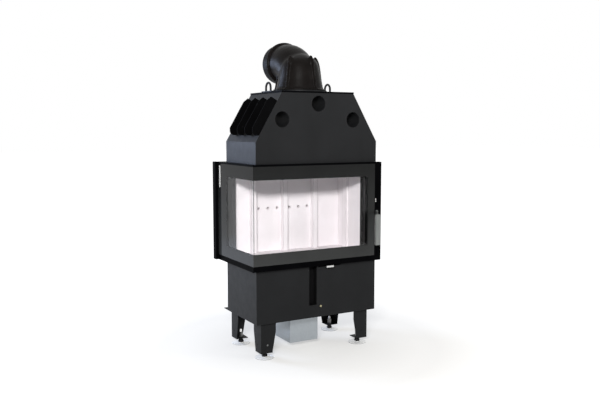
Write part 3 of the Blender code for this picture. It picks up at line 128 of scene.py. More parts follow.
# Camera, fitted to the photograph
CAMERA_PLACE = Vector((-1.6783, -3.02705, 1.052))
CAMERA_HEADING_DEG = 29.055
CAMERA_PITCH_DEG = -5.65
CAMERA_LENS_MM = 43.40
CAMERA_SENSOR_MM = 36.0
CAMERA_FAR = 200.0

# Floor and world: how they light the object, and how they show
FLOOR_HALF = 30.0
FLOOR_DROP = 0.0002
FLOOR_GREY = (0.52, 0.52, 0.52)
FLOOR_SHADED = (0.415, 0.405, 0.385)
WORLD_TINT = (0.97, 0.98, 1.0)
WORLD_STRENGTH = 0.30

# Lamps: name, place, target, size, watts, colour
BODY_MIDDLE = (0.0, 0.0, 0.7)
LAMPS = (
    ("key_front", (-2.6, -4.0, 2.12), BODY_MIDDLE, (1.2, 0.40), 290.0, WHITE),
    ("left_rear", (-2.3, 2.7, 1.55), BODY_MIDDLE, (1.5, 1.3), 115.0, (0.60, 0.72, 1.0)),
    ("right_front", (2.2, -2.6, 1.9), BODY_MIDDLE, (0.9, 0.4), 20.0, WHITE),
    ("overhead", (0.3, -0.3, 3.6), (0.0, 0.0, 0.0), (2.4, 2.4), 9.0, WHITE),
)


# Materials

def add_node(tree, kind, **settings):
    made = tree.nodes.new("ShaderNode" + kind)
    for key, value in settings.items():
        setattr(made, key, value)
    return made


def seen_directly(tree):
    """High for rays from the camera, off a mirror or through glass."""
    rays = add_node(tree, "LightPath")
    seen = rays.outputs["Is Camera Ray"]
    for name in ("Is Glossy Ray", "Is Transmission Ray"):
        either = add_node(tree, "Math", operation="MAXIMUM")
        tree.links.new(seen, either.inputs[0])
        tree.links.new(rays.outputs[name], either.inputs[1])
        seen = either.outputs[0]
    return seen


class Shade:
    """Builds one procedural material around a Principled shader."""

    def __init__(self, name, roughness=0.5, metallic=0.0, specular=0.5):
        self.material = bpy.data.materials.new(name)
        self.material.use_nodes = True
        self.tree = self.material.node_tree
        self.shader = self.tree.nodes["Principled BSDF"]
        self.shader.inputs["Roughness"].default_value = roughness
        self.shader.inputs["Metallic"].default_value = metallic
        self.shader.inputs["Specular IOR Level"].default_value = specular
        self.where = self.add("TexCoord").outputs["Object"]

    def add(self, kind, **settings):
        return add_node(self.tree, kind, **settings)

    def link(self, source, target):
        if isinstance(source, (int, float)):
            target.default_value = source
        elif isinstance(source, (tuple, list)):
            target.default_value = (*source, 1.0) if len(source) == 3 else source
        else:
            self.tree.links.new(source, target)

    def place(self, stretch):
        mapping = self.add("Mapping")
        self.link(self.where, mapping.inputs["Vector"])
        mapping.inputs["Scale"].default_value = stretch
        return mapping.outputs["Vector"]

    def noise(self, scale, detail=3.0, rough=0.55, stretch=(1, 1, 1), distortion=0.0):
        made = self.add("TexNoise")
        self.link(self.place(stretch), made.inputs["Vector"])
        made.inputs["Scale"].default_value = scale
        made.inputs["Detail"].default_value = detail
        made.inputs["Roughness"].default_value = rough
        made.inputs["Distortion"].default_value = distortion
        return made.outputs["Fac"]

    def cells(self, scale, output="Distance", stretch=(1, 1, 1)):
        made = self.add("TexVoronoi")
        self.link(self.place(stretch), made.inputs["Vector"])
        made.inputs["Scale"].default_value = scale
        return made.outputs[output]

    def axis(self, name):
        made = self.add("SeparateXYZ")
        self.link(self.where, made.inputs[0])
        return made.outputs[name]

    def span(self, value, low, high, to_low=0.0, to_high=1.0):
        made = self.add("MapRange", clamp=True)
        for index, item in enumerate((value, low, high, to_low, to_high)):
            self.link(item, made.inputs[index])
        return made.outputs["Result"]

    def math(self, operation, first, second, third=None):
        made = self.add("Math", operation=operation)
        self.link(first, made.inputs[0])
        self.link(second, made.inputs[1])
        if third is not None:
            self.link(third, made.inputs[2])
        return made.outputs[0]

    def mix(self, factor, first, second, blend="MIX"):
        made = self.add("Mix", data_type="RGBA", blend_type=blend)
        self.link(factor, made.inputs["Factor"])
        self.link(first, made.inputs[MIX_FIRST])
        self.link(second, made.inputs[MIX_SECOND])
        return made.outputs[MIX_RESULT]

    def soft_edge(self, radius=EDGE_RADIUS):
        made = self.add("Bevel", samples=4)
        made.inputs["Radius"].default_value = radius
        return made.outputs["Normal"]

    def edge_mask(self, rounded):
        """A mask that is high where the rounded normal leaves the face's own normal."""
        face = self.add("NewGeometry").outputs["True Normal"]
        along = self.add("VectorMath", operation="DOT_PRODUCT")
        self.link(rounded, along.inputs[0])
        self.link(face, along.inputs[1])
        return self.span(along.outputs["Value"], low=0.99, high=0.80)

    def bump(self, height, strength, distance, normal=None):
        made = self.add("Bump")
        made.inputs["Strength"].default_value = strength
        made.inputs["Distance"].default_value = distance
        self.link(height, made.inputs["Height"])
        if normal is not None:
            self.link(normal, made.inputs["Normal"])
        return made.outputs["Normal"]

    def finish(self, colour=None, roughness=None, normal=None, metallic=None):
        for name, value in (("Base Color", colour), ("Roughness", roughness),
                            ("Normal", normal), ("Metallic", metallic)):
            if value is not None:
                self.link(value, self.shader.inputs[name])
        return self.material


def paint(name, dark, light, rough=(0.45, 0.54), specular=0.5, wear_and_highlight=0.5,
          edge=(0.07, 0.07, 0.072), rim=EDGE_RADIUS):
    """Stove paint: fine orange peel, faint cloudy patches, dust and slightly rubbed edges; on
    the inner duct the wide light rim is a painted edge highlight.
    """
    shade = Shade(name, specular=specular)
    clouds = shade.noise(scale=5.0, detail=5.0, rough=0.6, distortion=0.4)
    streaks = shade.noise(scale=9.0, detail=4.0, rough=0.5, stretch=(1, 1, 0.12))
    blend = shade.math("MULTIPLY_ADD", clouds, 0.65, shade.math("MULTIPLY", streaks, 0.35))
    colour = shade.mix(shade.span(blend, low=0.36, high=0.64), dark, light)
    dust = shade.noise(scale=420.0, detail=2.0, rough=0.7)
    colour = shade.mix(shade.span(dust, low=0.66, high=0.80, to_high=0.22), colour, edge)
    rounded = shade.soft_edge()
    scuff_and_highlight_mask = shade.edge_mask(rounded if rim == EDGE_RADIUS else shade.soft_edge(rim))
    patchy = shade.span(shade.noise(scale=60.0), low=0.35, high=0.7, to_low=0.3)
    scuffed_and_highlit = shade.math("MULTIPLY", scuff_and_highlight_mask, patchy)
    # lighter edges: rubbed wear, and on the inner duct a painted edge highlight
    colour = shade.mix(shade.math("MULTIPLY", scuffed_and_highlit, wear_and_highlight), colour, edge)
    gloss = shade.span(shade.noise(scale=26.0, detail=4.0, rough=0.6), 0.3, 0.7, *rough)
    fine = shade.noise(scale=750.0, detail=2.0, rough=0.6)
    broad = shade.noise(scale=190.0, detail=2.0)
    peel = shade.math("ADD", fine, shade.math("MULTIPLY", broad, 0.6))
    normal = shade.bump(peel, strength=0.28, distance=0.00022, normal=rounded)
    return shade.finish(colour, gloss, normal)


def cast_metal(name, dark, light, rough, specular=0.5):
    """Sand-cast iron under thin paint: pitted grain with softer swells."""
    shade = Shade(name, specular=specular)
    grain = 260.0
    swell = shade.noise(scale=14.0, detail=4.0, rough=0.6, distortion=0.3)
    colour = shade.mix(shade.span(swell, low=0.32, high=0.68), dark, light)
    pits = shade.cells(scale=grain * 1.3)
    speck = shade.noise(scale=grain * 2.0, detail=2.0, rough=0.7)
    bright = tuple(channel * 2.2 for channel in light)
    colour = shade.mix(shade.span(speck, low=0.58, high=0.75, to_high=0.35), colour, bright)
    height = shade.math("ADD", shade.noise(scale=grain, detail=4.0, rough=0.65),
                        shade.math("MULTIPLY", pits, 0.45))
    rounded = shade.soft_edge(radius=0.0016)
    gloss = shade.span(shade.noise(scale=70.0), 0.3, 0.7, *rough)
    normal = shade.bump(height, strength=0.55, distance=0.0006, normal=rounded)
    return shade.finish(colour, gloss, normal)


def galvanised(name, dark, light):
    """Zinc spangle: angular cells that each have their own tone and gloss."""
    shade = Shade(name, metallic=0.75)
    tone = shade.cells(scale=95.0, output="Color", stretch=(1, 1, 0.8))
    split = shade.add("SeparateColor")
    shade.link(tone, split.inputs[0])
    fine = shade.noise(scale=320.0, rough=0.6)
    value = shade.math("MULTIPLY_ADD", split.outputs[0], 0.6, shade.math("MULTIPLY", fine, 0.4))
    colour = shade.mix(value, dark, light)
    gloss = shade.span(split.outputs[1], 0.0, 1.0, to_low=0.30, to_high=0.36)
    rounded = shade.soft_edge(radius=0.0008)
    normal = shade.bump(fine, strength=0.02, distance=0.0001, normal=rounded)
    return shade.finish(colour, gloss, normal)


def fire_board(name, white, shaded):
    """Pressed fire lining: chalky, with mica flecks, painted shade along its edges and seams,
    and tiny pores.
    """
    shade = Shade(name, roughness=0.92, specular=0.18)
    cloud = shade.noise(scale=11.0, detail=5.0, rough=0.62)
    colour = shade.mix(shade.span(cloud, low=0.35, high=0.68), shaded, white)
    fleck = shade.span(shade.cells(scale=520.0), 0.0, 0.14, to_low=0.16, to_high=0.0)
    colour = shade.mix(fleck, colour, (0.55, 0.50, 0.44))
    # painted shade: the board is darkened along its edges and seams
    rim = shade.edge_mask(shade.soft_edge(radius=0.0050))
    colour = shade.mix(shade.math("MULTIPLY", rim, 0.8), colour, (0.33, 0.285, 0.295))
    pore = shade.noise(scale=900.0, rough=0.7)
    swell = shade.noise(scale=160.0, detail=4.0, rough=0.6)
    height = shade.math("MULTIPLY_ADD", swell, 0.6, pore)
    gloss = shade.span(pore, 0.3, 0.7, to_low=0.84, to_high=0.98)
    rounded = shade.soft_edge(radius=0.0018)
    normal = shade.bump(height, strength=0.22, distance=0.00035, normal=rounded)
    return shade.finish(colour, gloss, normal)


def brushed(name, dark, light, stretch):
    """Brushed steel: long fine scratches along one axis."""
    shade = Shade(name, metallic=1.0)
    lines = shade.noise(scale=900.0, detail=4.0, rough=0.75, stretch=stretch)
    broad = shade.noise(scale=60.0, rough=0.6, stretch=stretch)
    value = shade.math("MULTIPLY_ADD", lines, 0.6, shade.math("MULTIPLY", broad, 0.4))
    colour = shade.mix(shade.span(value, low=0.3, high=0.7), dark, light)
    gloss = shade.span(lines, 0.3, 0.7, to_low=0.22, to_high=0.36)
    rounded = shade.soft_edge(radius=0.0006)
    normal = shade.bump(lines, strength=0.18, distance=0.00008, normal=rounded)
    return shade.finish(colour, gloss, normal)


def plated(name, dark, light, rough, metallic=1.0, painted_shade_height=None):
    """Zinc plate with small handling marks, and painted shade along the bottom up to the given
    height.
    """
    shade = Shade(name, metallic=metallic)
    haze = shade.noise(scale=130.0, detail=4.0, rough=0.65)
    colour = shade.mix(shade.span(haze, low=0.3, high=0.7), dark, light)
    if painted_shade_height is not None:
        # painted shade: the bottom of the piece is dark up to the given height
        above = shade.span(shade.axis("Z"), low=painted_shade_height, high=painted_shade_height + 0.0003)
        colour = shade.mix(above, (0.03, 0.03, 0.032), colour)
    marks = shade.noise(scale=500.0, detail=2.0, rough=0.8, stretch=(1, 0.15, 0.4))
    gloss = shade.span(haze, 0.3, 0.7, *rough)
    rounded = shade.soft_edge(radius=0.0006)
    normal = shade.bump(marks, strength=0.10, distance=0.0001, normal=rounded)
    return shade.finish(colour, gloss, normal)


def plastic(name, dark, light):
    """Moulded plastic or sealant: matt, with a fine grain."""
    shade = Shade(name, specular=0.15)
    grain = shade.noise(scale=800.0, detail=2.0, rough=0.6)
    colour = shade.mix(shade.span(shade.noise(scale=40.0), low=0.3, high=0.7), dark, light)
    gloss = shade.span(grain, 0.3, 0.7, to_low=0.45, to_high=0.62)
    return shade.finish(colour, gloss, shade.bump(grain, strength=0.25, distance=0.0002))


def enamel_and_painted_reflection(shade):
    """Fired enamel, nearly even, with a painted reflection of the floor: lighter towards the
    bottom of the door, darker towards the top.
    """
    haze = shade.noise(scale=6.0, detail=4.0, rough=0.6)
    colour = shade.mix(shade.span(haze, low=0.35, high=0.65), ENAMEL_DARK, ENAMEL_LIGHT)
    # painted reflection: the enamel is darkened towards the top of the door and kept lighter at
    # the bottom
    painted_reflection_fade = shade.span(shade.axis("Z"), low=0.45, high=0.87)
    return shade.mix(1.0, colour, shade.mix(painted_reflection_fade, WHITE, (0.30, 0.30, 0.30)), "MULTIPLY")


def print_border(name):
    """The enamel's own sheet on the back of the pane, with a faint screen mark."""
    shade = Shade(name, roughness=0.35, specular=0.0)
    screen = shade.cells(scale=1400.0)
    swell = shade.noise(scale=28.0, detail=2.0)
    gloss = shade.span(screen, 0.0, 0.8, to_low=0.28, to_high=0.42)
    normal = shade.bump(swell, strength=0.05, distance=0.00005)
    return shade.finish(enamel_and_painted_reflection(shade), gloss, normal)


def pane_glass(name, index, along, windows):
    """Thin ceramic glass: clear and mirroring in the windows, with enamel behind it elsewhere.

    Each window is its start and end on the axis along the pane, its foot and its head.
    """
    shade = Shade(name, specular=((index - 1) / (index + 1)) ** 2 / SPECULAR_UNIT)
    clear = 0.0
    for start, end, foot, head in windows:
        inside = shade.math("MULTIPLY", shade.math("GREATER_THAN", shade.axis(along), start),
                            shade.math("LESS_THAN", shade.axis(along), end))
        level = shade.math("MULTIPLY", shade.math("GREATER_THAN", shade.axis("Z"), foot),
                           shade.math("LESS_THAN", shade.axis("Z"), head))
        clear = shade.math("MULTIPLY_ADD", inside, level, clear)
    smear = shade.noise(scale=7.0, detail=4.0, rough=0.6, distortion=0.6)
    mirror = shade.add("Fresnel")
    leaving = shade.add("NewGeometry").outputs["Backfacing"]
    bend = shade.span(leaving, 0.0, 1.0, to_low=index, to_high=1 / index)
    shade.link(bend, mirror.inputs["IOR"])
    hidden = shade.math("SUBTRACT", 1.0, clear)
    opaque = shade.math("MAXIMUM", hidden, mirror.outputs["Fac"])
    shade.link(opaque, shade.shader.inputs["Alpha"])
    colour = shade.mix(clear, enamel_and_painted_reflection(shade), MIRROR_TINT)
    polish = shade.span(smear, 0.45, 0.8, to_low=0.012, to_high=0.05)
    gloss = shade.math("MULTIPLY_ADD", hidden, 0.07, polish)
    return shade.finish(colour, gloss, metallic=clear)


LOOKS = {
    "paint": paint(
        "stove_paint", (0.0070, 0.0072, 0.0076), (0.0096, 0.0099, 0.0105), specular=0.10),
    "paint_frame": paint(
        "frame_paint", (0.0010, 0.0010, 0.0012), (0.0020, 0.0020, 0.0023),
        rough=(0.30, 0.42), specular=0.004, wear_and_highlight=0.15, edge=(0.006, 0.006, 0.007)),
    "paint_fin": paint(
        "fin_paint", (0.0010, 0.0010, 0.0011), (0.0022, 0.0022, 0.0024),
        rough=(0.55, 0.70), specular=0.010, wear_and_highlight=0.30, edge=(0.03, 0.03, 0.032)),
    # Inner duct: its wide light rim is a painted edge highlight
    "paint_inside": paint(
        "inside_paint_edge_highlight", (0.0024, 0.0024, 0.0024), (0.0042, 0.0042, 0.0041),
        rough=(0.50, 0.66), specular=0.05, wear_and_highlight=0.9, edge=(0.17, 0.16, 0.16), rim=0.005),
    # Recess liner: near black, painted shade inside the recess
    "recess_painted_shade": paint(
        "recess_paint_with_painted_shade", (0.0020, 0.0020, 0.0022), (0.0045, 0.0045, 0.0048),
        rough=(0.55, 0.70), specular=0.05, edge=(0.02, 0.02, 0.02)),
    "cast": cast_metal(
        "cast_iron_paint", (0.0036, 0.0029, 0.0026), (0.0066, 0.0053, 0.0048),
        rough=(0.28, 0.40), specular=0.045),
    "pipe": paint(
        "pipe_paint", (0.0040, 0.0040, 0.0043), (0.0070, 0.0070, 0.0075),
        rough=(0.38, 0.48), specular=0.03),
    "grate": cast_metal(
        "grate_iron", (0.022, 0.021, 0.021), (0.045, 0.043, 0.042), rough=(0.50, 0.68)),
    "galvanised": galvanised("galvanised_sheet", (0.335, 0.365, 0.390), (0.370, 0.400, 0.425)),
    "lining": fire_board("fire_lining", (0.765, 0.725, 0.742), (0.730, 0.688, 0.701)),
    "baffle": fire_board("baffle_board", (0.34, 0.32, 0.31), (0.26, 0.245, 0.24)),
    "satin": brushed(
        "satin_steel", (0.12, 0.135, 0.13), (0.25, 0.25, 0.245), stretch=(1, 1, 0.02)),
    "satin_flat": brushed(
        "satin_steel_flat", (0.42, 0.42, 0.42), (0.66, 0.66, 0.65), stretch=(0.02, 1, 1)),
    "zinc": plated(
        "zinc_plate", (0.70, 0.70, 0.69), (0.92, 0.92, 0.91), rough=(0.35, 0.50), metallic=0.35),
    # Feet: the dark line along the bottom is painted shade
    "foot": plated(
        "foot_zinc", (0.80, 0.80, 0.79), (0.95, 0.95, 0.94),
        rough=(0.35, 0.50), metallic=0.2, painted_shade_height=0.0011),
    "nut": plated("nut_plate", (0.15, 0.15, 0.15), (0.24, 0.24, 0.235), rough=(0.30, 0.45)),
    # Grey cap in the front left leg's hole: painted shade in the hole
    "hole_shade_cap": plated(
        "plug_zinc", (0.110, 0.112, 0.112), (0.190, 0.194, 0.192),
        rough=(0.35, 0.50), metallic=0.6),
    "screw": plated(
        "yellow_zinc", (0.30, 0.27, 0.16), (0.44, 0.40, 0.25), rough=(0.30, 0.42), metallic=0.8),
    "plastic": plastic("hub_plastic", (0.0035, 0.0035, 0.0040), (0.0070, 0.0070, 0.0076)),
    "border": print_border("printed_border"),
    "glass": pane_glass("ceramic_glass", FRONT_INDEX, "X", [
        (FRONT_LOW.x - PAST_ANY_EDGE, FRONT_WINDOW_END, SILL, LINTEL)]),
    "glass_side": pane_glass("ceramic_glass_side", SIDE_INDEX, "Y", [
        (SIDE_LOW.y - PAST_ANY_EDGE, SIDE_WINDOW_END, SILL, LINTEL),
        (SLOT_GLASS_START, SIDE_HIGH.y + PAST_ANY_EDGE, SLOT_FOOT, SLOT_HEAD)]),
    "seal": plastic("seal_bead", (0.030, 0.030, 0.031), (0.050, 0.050, 0.051)),
}

# The starts of the names of the nodes that have each look
NODE_LOOKS = {
    "paint": ["leg_", "base_floor_plate", "base_casing", "hood_shell", "lifting_eye_",
              "flue_seat_ring", "hinge_bracket_", "chamber_shell", "air_tube_"],
    "paint_frame": ["top_plate", "door_bottom_rail", "door_top_rail", "door_hinge_stile",
                    "door_closing_stile"],
    "paint_fin": ["cooling_fin_"],
    "paint_inside": ["air_duct_right"],
    # the recess liner is painted dark: painted shade in the recess
    "recess_painted_shade": ["recess_liner"],
    "cast": ["flue_elbow"],
    "pipe": ["flue_collar"],
    "grate": ["grate"],
    "galvanised": ["air_box", "air_spigot", "damper_flap", "ash_pan"],
    "lining": ["lining_"],
    "baffle": ["baffle_plate"],
    "satin": ["door_handle"],
    "satin_flat": ["air_lever"],
    "screw": ["casing_screw"],
    "foot": ["foot_"],
    "nut": ["leg_nut_", "latch_cam"],
    "glass": ["front_glass"],
    "glass_side": ["side_glass"],
}


def dress_nodes():
    """Give every node of the model its material, longest matching name first."""
    rules = [(start, look) for look, starts in NODE_LOOKS.items() for start in starts]
    rules.sort(key=lambda rule: -len(rule[0]))
    for name, item in NODES.items():
        look = next(look for start, look in rules if name.startswith(start))
        item.data.materials.clear()
        item.data.materials.append(LOOKS[look])


# Fine pieces, each a mesh in the model's own coordinates

def piece(name, shape, look, body, smooth=True):
    """Turn a bmesh into an object that moves with a body of the model."""
    mesh = bpy.data.meshes.new(name)
    bmesh.ops.recalc_face_normals(shape, faces=shape.faces)
    shape.to_mesh(mesh)
    shape.free()
    if smooth:
        mesh.shade_smooth()
        mesh.set_sharp_from_angle(angle=math.radians(SHARP_DEG))
    mesh.materials.append(LOOKS[look])
    made = bpy.data.objects.new(name, mesh)
    bpy.context.scene.collection.objects.link(made)
    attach(made, body)
    return made


def turned(centre, profile, axis, sides, ridge=lambda radius, step: radius):
    """A closed ring of (radius, along) pairs turned about an axis; radius zero closes on it.

    The ridge function may change the radius from step to step.
    """
    shape = bmesh.new()
    rings = []
    for radius, along in profile:
        ring = []
        for step in range(sides if radius else 1):
            angle = 2 * math.pi * step / sides
            far = ridge(radius, step)
            first, second = far * math.cos(angle), far * math.sin(angle)
            spot = {"Z": (first, second, along), "Y": (first, along, second),
                    "X": (along, first, second)}[axis]
            ring.append(shape.verts.new(Vector(centre) + Vector(spot)))
        rings.append(ring)
    for index, ring in enumerate(rings):
        after = rings[(index + 1) % len(rings)]
        if len(ring) == 1 and len(after) == 1:
            continue
        for step in range(sides):
            following = (step + 1) % sides
            corners = [ring[step % len(ring)], ring[following % len(ring)],
                       after[following % len(after)], after[step % len(after)]]
            shape.faces.new(list(dict.fromkeys(corners)))
    return shape


def upright(outline, foot, head):
    """A bar with this outline in plan, closed at both ends."""
    shape = bmesh.new()
    low, high = [[shape.verts.new((x, y, z)) for x, y in outline] for z in (foot, head)]
    for index in range(len(outline)):
        after = (index + 1) % len(outline)
        shape.faces.new((low[index], low[after], high[after], high[index]))
    shape.faces.new(low)
    shape.faces.new(high)
    return shape


def printed_sheet(across, up, clear, place, axis):
    """A thin sheet on a grid of cuts, closed all round, without the clear cells."""
    shape = bmesh.new()
    corners = {}

    def corner(column, row, side):
        key = (column, row, side)
        if key not in corners:
            along = place + side * PRINT_THICK
            level = (across[column], along) if axis == "Y" else (along, across[column])
            corners[key] = shape.verts.new((*level, up[row]))
        return corners[key]

    cells = {(column, row) for column in range(len(across) - 1) for row in range(len(up) - 1)}
    cells -= set(clear)
    for column, row in sorted(cells):
        loop = [(column, row), (column + 1, row), (column + 1, row + 1), (column, row + 1)]
        for side in (0, 1):
            shape.faces.new([corner(*spot, side) for spot in loop])
        beyond = [(column, row - 1), (column + 1, row), (column, row + 1), (column - 1, row)]
        for index, neighbour in enumerate(beyond):
            if neighbour not in cells:
                first, second = loop[index], loop[(index + 1) % 4]
                shape.faces.new((corner(*first, 0), corner(*second, 0),
                                 corner(*second, 1), corner(*first, 1)))
    return shape


def build_borders():
    """The dark enamel printed on the back of both panes."""
    front = printed_sheet([FRONT_PRINT_START, FRONT_WINDOW_END, FRONT_HIGH.x],
                          [FRONT_LOW.z, SILL, LINTEL, FRONT_HIGH.z],
                          [(0, 1)], FRONT_HIGH.y + PRINT_GAP, "Y")
    piece("front_border", front, "border", "door", smooth=False)
    side = printed_sheet([SIDE_PRINT_START, SIDE_WINDOW_END, SLOT_PRINT_START, SIDE_HIGH.y],
                         [FRONT_LOW.z, SILL, SLOT_FOOT, LINTEL, SLOT_HEAD, FRONT_HIGH.z],
                         [(0, 1), (0, 2), (2, 2), (2, 3)], SIDE_HIGH.x + PRINT_GAP, "X")
    piece("side_border", side, "border", "door", smooth=False)


def build_foot_hubs():
    """Black moulded caps with grip ridges around the hub and neck of each foot."""

    def ridge(radius, step):
        if radius > HUB_RIDGED_FROM:
            return radius + HUB_RIDGE * math.cos(step * math.pi / 3)
        return radius

    for corner in CORNERS:
        low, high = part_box("foot_" + corner)
        centre = ((low.x + high.x) / 2, (low.y + high.y) / 2, 0)
        hub = turned(centre, HUB_PROFILE, "Z", HUB_SIDES, ridge)
        piece("foot_hub_" + corner, hub, "plastic", "foot_" + corner)


def build_leg_hole_shade():
    """Dark caps that fill the holes of the leg flanges, as painted shade in the holes; the front
    left face has a bare one.
    """
    for corner in CORNERS:
        low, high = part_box("leg_" + corner)
        foot_low, foot_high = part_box("foot_" + corner)
        middle = (foot_low + foot_high) / 2
        z = low.z + LEG_HOLE_HEIGHT
        face_y, inward_y = (low.y, 1) if corner.startswith("front") else (high.y, -1)
        side_x, inward_x = (low.x, 1) if corner.endswith("left") else (high.x, -1)
        profile = [(radius, inward_y * along) for radius, along in HOLE_SHADE_CAP_PROFILE]
        hole_shade_cap = turned((middle.x, face_y, z), profile, "Y", HOLE_SHADE_CAP_SIDES)
        # the caps stand in for the shade inside the holes: painted shade
        if corner == "front_left":
            piece("leg_plug_%s_face" % corner, hole_shade_cap, "hole_shade_cap", "firebox")
        else:
            piece("leg_plug_%s_face" % corner, hole_shade_cap, "plastic", "firebox")
        profile = [(radius, inward_x * along) for radius, along in HOLE_SHADE_CAP_PROFILE]
        hole_shade_cap = turned((side_x, middle.y, z), profile, "X", HOLE_SHADE_CAP_SIDES)
        piece("leg_plug_%s_side" % corner, hole_shade_cap, "plastic", "firebox")


def build_stile_screws():
    """Two small bright screws above the handle's boss on the closing stile."""
    low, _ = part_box("door_closing_stile")
    for index, z in enumerate(SCREW_HEIGHTS):
        screw = turned((low.x + SCREW_INSET, low.y, z), SCREW_PROFILE, "Y", SCREW_SIDES)
        piece("stile_screw_%d" % (index + 1), screw, "zinc", "door")


def build_slot_strip():
    """Bright retainer behind the clear slot, on the front of the hinge stile."""
    x, y, z = SIDE_HIGH.x + STRIP_GAP, SIDE_HIGH.y + PRINT_GAP, SIDE_HIGH.z - SLOT_DROP
    far, front = x + STRIP_WIDTH, y - STRIP_THICK
    outline = [(x, front), (far, front), (far, y), (x, y)]
    strip = upright(outline, z, z + STRIP_HEIGHT)
    piece("slot_retainer", strip, "zinc", "door", smooth=False)


def build_corner_seal():
    """The dark bead of sealant in the inner corner where the two panes meet."""
    x, y = SIDE_HIGH.x + SEAL_SIDE_GAP, FRONT_HIGH.y + SEAL_FRONT_GAP
    seal = upright([(x + across, y + back) for across, back in SEAL_OUTLINE],
                   FRONT_LOW.z + SEAL_SHORT, FRONT_HIGH.z - SEAL_SHORT)
    piece("corner_seal", seal, "seal", "door", smooth=False)


def with_modifiers(item):
    """The item's mesh as its modifiers leave it."""
    graph = bpy.context.evaluated_depsgraph_get()
    shape = bmesh.new()
    shape.from_mesh(bpy.data.meshes.new_from_object(item.evaluated_get(graph)))
    return shape


def fill_hollows(shape, verts, foot):
    """Move the verts of the open hollows outwards until the surface there is nearly even."""
    walls = BVHTree.FromBMesh(shape)
    hollow = {}
    for vert in verts:
        facing = vert.normal.copy()
        share = min(1.0, (vert.co.z - foot - FILL_FROM) / (FILL_FULL - FILL_FROM))
        start = vert.co + facing * BORE_START
        if share > 0 and walls.ray_cast(start, facing, BORE_REACH)[0] is None:
            around = [edge.other_vert(vert) for edge in vert.link_edges]
            hollow[vert] = (around, facing, FILL_SHARE * share)
    active = set(hollow)
    for _ in range(FILL_PASSES):
        pulled = {}
        for vert in active:
            around, facing, share = hollow[vert]
            pull = sum((near.co for near in around), Vector()) / len(around) - vert.co
            if pull.dot(facing) > FILL_LEAST:
                pulled[vert] = pull * share
        for vert, pull in pulled.items():
            vert.co += pull
        touched = {near for vert in pulled for near in hollow[vert][0] + [vert]}
        active = touched & set(hollow)


def build_cast_elbow():
    """The elbow as cast, with soft hollows where ribs, skirt and pipe run into each other."""
    source = NODES["flue_elbow"]
    low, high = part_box("flue_elbow")
    rough = bpy.data.objects.new("rough_elbow", source.data.copy())
    rough.matrix_world = source.matrix_world.copy()
    bpy.context.scene.collection.objects.link(rough)
    even = rough.modifiers.new("even", "REMESH")
    even.mode = "VOXEL"
    even.voxel_size = CAST_VOXEL
    shape = with_modifiers(rough)
    shape.transform(rough.matrix_world)
    shape.normal_update()
    soft = [vert for vert in shape.verts
            if vert.co.z > low.z + CAST_FOOT_KEPT and vert.co.y < high.y - CAST_END_KEPT]
    for _ in range(CAST_SOFT_PASSES):
        bmesh.ops.smooth_vert(shape, verts=soft, factor=CAST_SOFT_SHARE,
                              use_axis_x=True, use_axis_y=True, use_axis_z=True)
    shape.normal_update()
    fill_hollows(shape, soft, low.z)
    rough.modifiers.clear()
    rough.matrix_world.identity()
    shape.to_mesh(rough.data)
    shape.free()
    thin = rough.modifiers.new("thin", "DECIMATE")
    thin.ratio = CAST_KEEP
    shape = with_modifiers(rough)
    bpy.data.objects.remove(rough, do_unlink=True)
    made = piece("cast_elbow", shape, "cast", "flue_outlet")
    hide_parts("flue_elbow")


# Floor, light and camera

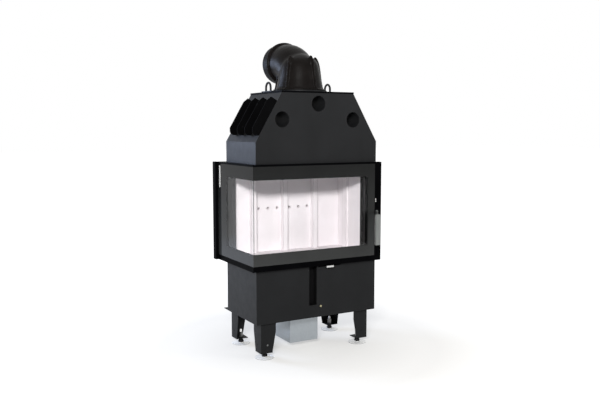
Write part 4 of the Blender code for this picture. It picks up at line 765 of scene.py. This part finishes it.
def build_floor():
    """A plain pale floor that keeps the object's shadow, with a painted shadow too: its glow is
    dimmed close to the object and fades to white further out.
    """
    shape = bmesh.new()
    edge = FLOOR_HALF
    spots = [(-edge, -edge), (edge, -edge), (edge, edge), (-edge, edge)]
    shape.faces.new([shape.verts.new((x, y, -FLOOR_DROP)) for x, y in spots])
    mesh = bpy.data.meshes.new("floor")
    shape.to_mesh(mesh)
    shape.free()
    shade = Shade("studio_floor", roughness=0.8, specular=0.1)
    shade.link(FLOOR_GREY, shade.shader.inputs["Base Color"])
    shown = seen_directly(shade.tree)
    soft = shade.add("BsdfDiffuse")
    shade.link(FLOOR_SHADED, soft.inputs["Color"])
    glow = shade.add("Emission")
    shade.link(WHITE, glow.inputs["Color"])
    spread = shade.add("VectorMath", operation="LENGTH")
    shade.link(shade.where, spread.inputs[0])
    away = spread.outputs["Value"]
    # painted shadow: the floor's glow is lowest close to the object and rises outwards
    near = shade.span(away, low=0.10, high=0.58, to_low=0.43, to_high=0.57)
    far = shade.span(away, low=0.5, high=1.5, to_low=0.48, to_high=1.0)
    shade.link(shade.math("MAXIMUM", near, far), glow.inputs["Strength"])
    lit = shade.add("AddShader")
    shade.link(soft.outputs[0], lit.inputs[0])
    shade.link(glow.outputs[0], lit.inputs[1])
    both = shade.add("MixShader")
    shade.link(shown, both.inputs["Fac"])
    shade.link(shade.shader.outputs[0], both.inputs[1])
    shade.link(lit.outputs[0], both.inputs[2])
    shade.link(both.outputs[0], shade.tree.nodes["Material Output"].inputs["Surface"])
    mesh.materials.append(shade.material)
    floor = bpy.data.objects.new("floor", mesh)
    bpy.context.scene.collection.objects.link(floor)


def build_world():
    """Soft even light, with plain white wherever the world itself is seen."""
    world = bpy.data.worlds.new("studio")
    bpy.context.scene.world = world
    world.use_nodes = True
    tree = world.node_tree
    plain = tree.nodes["Background"]
    plain.inputs["Color"].default_value = (*WORLD_TINT, 1.0)
    plain.inputs["Strength"].default_value = WORLD_STRENGTH
    shown = add_node(tree, "Background")
    shown.inputs["Color"].default_value = (*WHITE, 1.0)
    shown.inputs["Strength"].default_value = 1.0
    both = add_node(tree, "MixShader")
    tree.links.new(seen_directly(tree), both.inputs["Fac"])
    tree.links.new(plain.outputs[0], both.inputs[1])
    tree.links.new(shown.outputs[0], both.inputs[2])
    tree.links.new(both.outputs[0], tree.nodes["World Output"].inputs["Surface"])


def build_lights():
    for name, place, target, size, watts, colour in LAMPS:
        data = bpy.data.lights.new(name, "AREA")
        data.shape = "RECTANGLE"
        data.size, data.size_y = size
        data.energy = watts
        data.color = colour
        lamp = bpy.data.objects.new(name, data)
        lamp.location = place
        aim = Vector(target) - Vector(place)
        lamp.rotation_euler = aim.to_track_quat("-Z", "Y").to_euler()
        bpy.context.scene.collection.objects.link(lamp)


def build_camera():
    data = bpy.data.cameras.new("camera")
    data.sensor_width = CAMERA_SENSOR_MM
    data.lens = CAMERA_LENS_MM
    data.clip_end = CAMERA_FAR
    camera = bpy.data.objects.new("camera", data)
    heading, pitch = math.radians(CAMERA_HEADING_DEG), math.radians(CAMERA_PITCH_DEG)
    level = math.cos(pitch)
    aim = Vector((math.sin(heading) * level, math.cos(heading) * level, math.sin(pitch)))
    camera.location = CAMERA_PLACE
    camera.rotation_euler = aim.to_track_quat("-Z", "Y").to_euler()
    bpy.context.scene.collection.objects.link(camera)
    bpy.context.scene.camera = camera


build_camera()
dress_nodes()
build_borders()
build_foot_hubs()
build_leg_hole_shade()
build_stile_screws()
build_slot_strip()
build_corner_seal()
build_cast_elbow()
build_floor()
build_world()
build_lights()
bpy.context.scene.view_settings.view_transform = "Standard"
